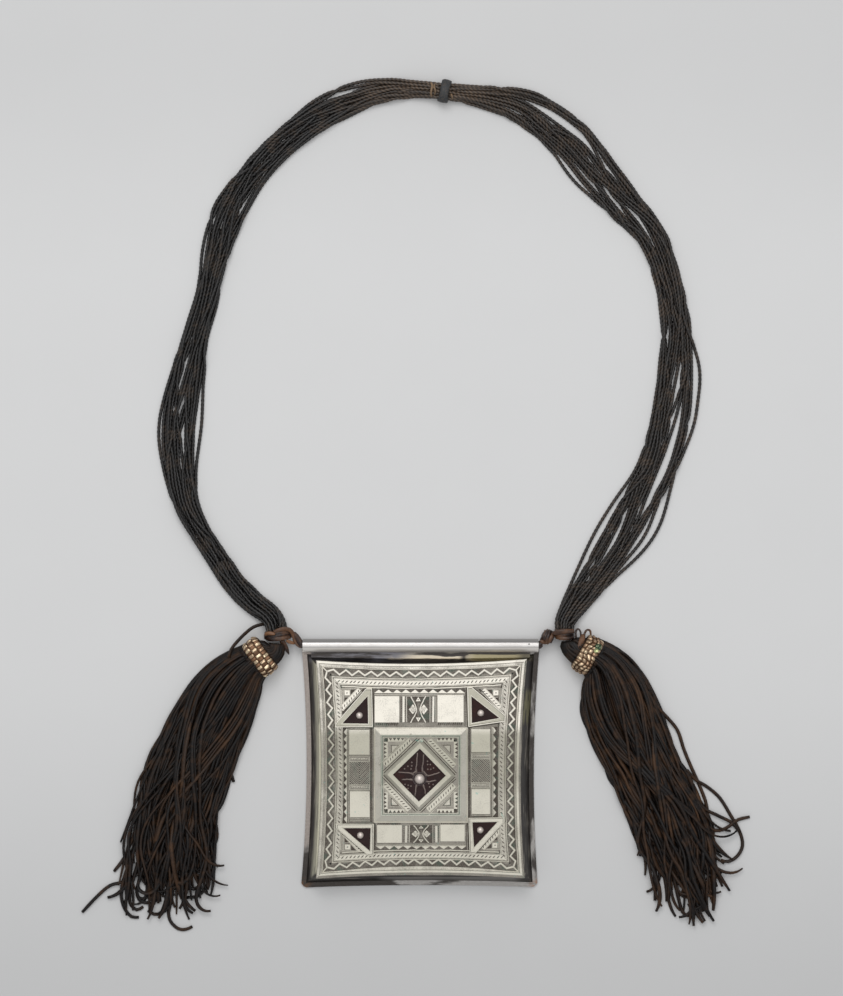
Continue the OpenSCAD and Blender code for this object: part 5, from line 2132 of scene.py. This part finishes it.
def tassels() -> tuple[Tassel, Tassel]:
    """The two tassels, with the places of the strips that leave them.

    Returns:
        The left and the right one.
    """
    left = Tassel(
        "tassel_left",
        ((-60.6, 52.1, 6.6, 5.6), (-61.1, 49.4, 8.8, 7), (-63.4, 47.7, 11.2, 8.4), (-67.4, 46.7, 14.2, 8.8),
         (-71.6, 43.6, 14.2, 8.8), (-75.6, 39.8, 22, 9), (-82, 31, 28, 9), (-88.2, 19, 31, 8.6),
         (-94.8, 5.3, 33, 8.1), (-101, -9.6, 34.6, 7.4),
         (-104.6, -24.7, 35.6, 6.6), (-105.8, -39, 35, 5.4)),
        (((-80.5, 46.5, 7), (-79.3, 50.2, 6), (-75.4, 54.8, 5), (-71.4, 58.4, 5), (-68.6, 59.8, 4.6),
          (-65.6, 60.4, 3.6)),
         ((-119, -24, 2), (-122.6, -33, 1.4), (-125.4, -39, 1), (-129.2, -44, 0.6)),
         ((-112, -34, 3), (-118, -44, 2), (-125.2, -48.2, 1.2), (-131, -50, 0.9), (-136.4, -54.6, 0.8),
          (-142.6, -61.2, 0.7)),
         ((-84, 6, 4), (-82, 2, 2.5), (-80.3, -1.7, 1), (-78.7, -6.3, 0.6)),
         ((-76, 8, 3), (-79.7, -2, 2), (-83.6, -11.3, 1), (-86.5, -22, 0.8), (-88, -36, 0.8)),
         ((-122, -38, 3), (-125.4, -48.6, 1.6), (-126.1, -54.4, 0.9), (-124.8, -59.5, 0.8),
          (-121.9, -63, 0.7), (-118.7, -63.3, 0.7)),
         ((-119, -40, 3), (-121.9, -50.5, 1.6), (-122.7, -55.7, 0.9), (-121.4, -59, 0.8),
          (-119.2, -60.2, 0.7), (-116.9, -58.8, 0.7)),
         ((-117, -42, 3), (-119.4, -51.2, 1.6), (-119, -55, 0.9), (-117.1, -57, 0.8), (-114.3, -57.1, 0.7)),
         ((-103, -42, 3), (-104.9, -54.4, 1.4), (-105.8, -58.2, 0.9), (-108.4, -61.1, 0.8),
          (-112, -62.1, 0.7), (-115, -60.4, 0.7)),
         ((-86.5, -28, 2), (-87, -40, 1.2), (-89.6, -49.3, 0.8), (-93.8, -54.2, 0.7), (-98.6, -55, 0.7)),
         ((-103, -44, 2), (-105, -56, 1.2), (-106.2, -61.4, 0.8), (-105.2, -65.3, 0.7), (-102, -68.2, 0.6),
          (-98.8, -68.4, 0.6), (-96.2, -67.2, 0.6))),
        seed=21,
    )
    right = Tassel(
        "tassel_right",
        ((62.2, 53.1, 6.2, 5.6), (62.5, 51.8, 8.6, 7), (65.2, 49.8, 11.4, 8.4), (70.1, 47.5, 14.2, 8.8),
         (74.5, 45, 14.2, 8.8), (78, 41, 21, 9), (82, 31, 29, 9), (86, 19, 31, 8.6), (91, 7, 30, 8.1),
         (97, -6, 29, 7.4), (103, -19, 30, 6.6),
         (107.6, -31, 30.4, 6), (110.6, -41, 28, 5.2)),
        (((76, 46, 7), (83, 48.8, 5), (88.6, 45.2, 3), (94, 38, 2), (99, 28, 2)),
         ((99, 26, 3), (105.4, 19.3, 1.6), (108.6, 14.8, 1), (110.9, 7.7, 0.8), (113.8, 0.6, 0.7),
          (117, -6.5, 0.7), (120.2, -14.8, 0.7), (121.2, -22, 0.7)),
         ((112, -1, 3), (115.7, -5.2, 1.6), (120.9, -8.4, 0.8), (126, -12.9, 0.7), (130.5, -20, 0.7),
          (134.4, -27, 0.7), (135.7, -32.8, 0.7),
          (133.7, -37.3, 0.7), (129.9, -39.8, 0.7), (126.6, -39.2, 0.7)),
         ((112, -8, 3), (118.9, -16.8, 1.8), (125.5, -20.5, 1.5), (131.1, -23.4, 1.5), (134.6, -27.6, 0.9)),
         ((116, -16, 3), (118.9, -22.5, 1.6), (122.8, -26.2, 1), (126.6, -26.6, 1), (130.5, -24.5, 1.6),
          (133.7, -22.2, 1), (138.7, -21, 0.7)),
         ((70, 36, 4), (67.8, 26.3, 1), (68.6, 20.3, 0.8), (71.6, 14.6, 0.8), (76.5, 10, 0.8)),
         ((75.5, 12, 2), (76.6, 5.8, 1), (78.9, -3.2, 0.8), (81.2, -7.3, 0.7), (86.5, -13, 0.7)),
         ((84, -10, 2), (88, -20, 0.8), (91.5, -32, 0.7), (94.6, -37.4, 0.7)),
         ((106, -44, 2), (108.6, -55, 1.2), (110.4, -61, 0.8), (113.2, -62.6, 0.7), (116, -58.8, 0.8),
          (116.8, -53, 1))),
        slant=-0.55,
        hooks=0.16,
        worn=0.9,
        seed=22,
    )
    return left, right


def windings() -> tuple[LaceWinding, ...]:
    """The laces at the ends of the cords, at the tube and at the top of the loop.

    Returns:
        The windings.
    """
    return (
        LaceWinding(
            "hitch_left", (-60.0, 55.7), 4.6, 11.6, 8.4, -82.0, turns=4.2, lace=(1.7, 0.9), seed=31,
            tails=((0.45, ((-61.5, 57.0, 7.9, 1.7), (-59, 58.1, 8.3, 1.8), (-56.2, 58.5, 7.8, 1.8),
                           (-54.2, 57.4, 7, 1.8), (-53.2, 55.0, 6, 1.7), (-52.4, 52.9, 5.5, 1.7),
                           (-50.8, 51.3, 5.3, 1.8),
                           (-49.6, 51.3, 5.2, 1.9))),
                   (1.0, ((-65.2, 56.0, 7.6, 1.2), (-64.2, 56.6, 8.3, 1.6), (-62.6, 56.6, 8.7, 1.6),
                          (-61, 56.3, 8.6, 1.0))),
                   (0.9, ((-56.4, 53.6, 6.6, 1.0), (-55.2, 53.0, 6.6, 1.5), (-53.9, 52.6, 6.3, 1.4),
                          (-53, 52.2, 5.9, 0.8))),
                   (0.1, ((-58.2, 53.5, 6.5, 2.2), (-57.2, 51.5, 5.5, 2.3), (-56.2, 49.6, 4.4, 1.7),
                          (-55.4, 47.6, 3.4, 0.4)))),
        ),
        LaceWinding(
            "hitch_right", (60.4, 56.2), 5.2, 8.6, 8.2, -88.0, turns=4.0, lace=(1.6, 0.9), seed=32,
            tails=((0.3, ((55.6, 56.6, 7.2, 1.6), (58, 57.2, 8.3, 2.1), (61, 57.5, 8.6, 2.1),
                          (64.4, 57.6, 7.4, 1.6))),
                   (0.15, ((65.3, 54.6, 6, 0.8), (65.2, 57.2, 6, 0.8), (66.1, 58.4, 6, 0.8),
                           (67.1, 57.4, 6, 0.8), (67.3, 55.3, 6, 0.8), (66.7, 52.6, 7, 0.8))),
                   (0.3, ((68.9, 52.6, 8, 0.9), (68.8, 56.0, 6, 0.9), (69.8, 57.9, 6, 0.9),
                          (71.2, 57.7, 5.6, 0.9), (71.5, 56.0, 5.4, 0.8))),
                   (0.55, ((66.3, 50.2, 9.4, 1.8), (67.2, 52.4, 9.2, 2.5), (67.8, 54.6, 8.2, 2.4),
                           (67.9, 56, 7, 1.2)))),
        ),
        LaceWinding("knot_right", (53.45, 55.0), 5.6, 6.6, 7.6, -28.0, turns=4.4, lace=(1.35, 1.0),
                    lean=0.3, ball=0.42, seed=33,
                    tails=((0.6, ((50.4, 53.4, 6.4, 1.2), (51.2, 53.0, 6.6, 1.6), (52.2, 52.4, 6, 1.0))),)),
        LaceWinding(
            "top_wrap", (10.15, 284.6), 4.6, 10.2, 7.6, -15.0, turns=1.6, lace=(3.5, 1.5), lean=0.2,
            worn=-0.6, seed=34,
            tails=((0.9, ((4.3, 288.1, 3.9, 0.7), (4.9, 286.8, 5.2, 0.9), (4.6, 285, 5.5, 0.9),
                          (4.4, 283.4, 5.1, 0.9), (4.8, 282.2, 3.9, 0.7))),
                   (0.7, ((6.0, 287.4, 4.1, 0.7), (5.7, 286, 5.4, 0.9), (6.3, 284.6, 5.6, 0.8),
                          (5.9, 283, 4.6, 0.7))),
                   (0.8, ((13.4, 281.2, 4.1, 0.7), (13.2, 282.2, 5.0, 0.9), (12.9, 283.2, 5.3, 0.7)))),
        ),
    )


def build_leather() -> None:
    """Builds the tassels, the laces and the lace in the tube."""
    strip = Leather(
        "strip_leather", (0.001, 0.0008, 0.0008), (0.0055, 0.0036, 0.0032), (0.085, 0.040, 0.017),
        rough=0.42, grain=0.8, shine=0.3,
    ).material()
    laced = Leather(
        "lace_leather", (0.005, 0.003, 0.0025), (0.021, 0.0095, 0.0075), (0.225, 0.10, 0.042),
        rough=0.36, grain=0.6,
    )
    lace = laced.material()
    dark = Leather(
        "wrap_leather", (0.006, 0.006, 0.006), (0.030, 0.032, 0.034), (0.26, 0.165, 0.09),
        rough=0.5, grain=0.6,
    ).material()
    for tassel in tassels():
        tassel.build(strip)
        tassel.build_head(strip)
    for winding in windings():
        winding.build(dark if winding.name == "top_wrap" else lace)
    dress_node("hanging_thong", laced.material(kept=False))


def build_silver() -> None:
    """Dresses the box and adds the worked relief of its face."""
    silver = Silver(
        "face_silver", (0.485, 0.462, 0.375), (0.30, 0.275, 0.235), (0.085, 0.070, 0.056),
        (0.88, 0.83, 0.73),
    )
    dress_node("face_plate", face_finish(silver))
    worked = silver.worked()
    FaceBorder().build(worked)
    FaceField().build(worked)
    square = RaisedSquare()
    square.build(worked)
    grey = (0.20, 0.155, 0.135)
    lines = Silver("stone_silver", grey, (0.08, 0.06, 0.06), (0.02, 0.012, 0.014), grey)
    square.build_stone_lines(lines.worked())
    dress_node("case_wall", case_finish())
    dress_node("back_plate", plate_finish())
    stone = Leather(
        "inlay_stone", (0.004, 0.002, 0.002), (0.019, 0.0055, 0.005), (0.07, 0.022, 0.017),
        rough=0.36, grain=0.7, relief=0.03, shine=0.2,
    ).material(kept=False)
    studs = Silver(
        "stud_silver", (0.80, 0.71, 0.65), (0.45, 0.38, 0.34), (0.2, 0.15, 0.13), (0.84, 0.75, 0.69),
        rough=0.5, metal=0.75,
    )
    ball = studs.tarnished(Graph(studs.name), 0.95)
    for place in ("center", "nw", "ne", "sw", "se"):
        dress_node(f"inlay_{place}", stone)
        dress_node(f"stud_{place}", ball)


def main() -> None:
    """Builds the scene piece by piece."""
    logging.basicConfig(level=logging.INFO, format="%(message)s")
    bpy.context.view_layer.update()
    studio = Studio()
    studio.camera()
    cord = Leather(
        "cord_leather", (0.002, 0.0018, 0.0018), (0.0075, 0.0065, 0.0065), (0.155, 0.105, 0.070),
        rough=0.36, shine=0.5,
    )
    NeckCords().build(cord.material())
    studio.build()
    build_leather()
    brass = brass_finish()
    WovenBand("band_left", (-67.4, 46.7), -143.5, seed=41).build(brass)
    WovenBand("band_right", (70.1, 47.5), -30.3, weave=Weave.PEBBLES, bricks=25, rows=4, seed=42).build(brass)
    build_silver()


if __name__ == "__main__":
    main()
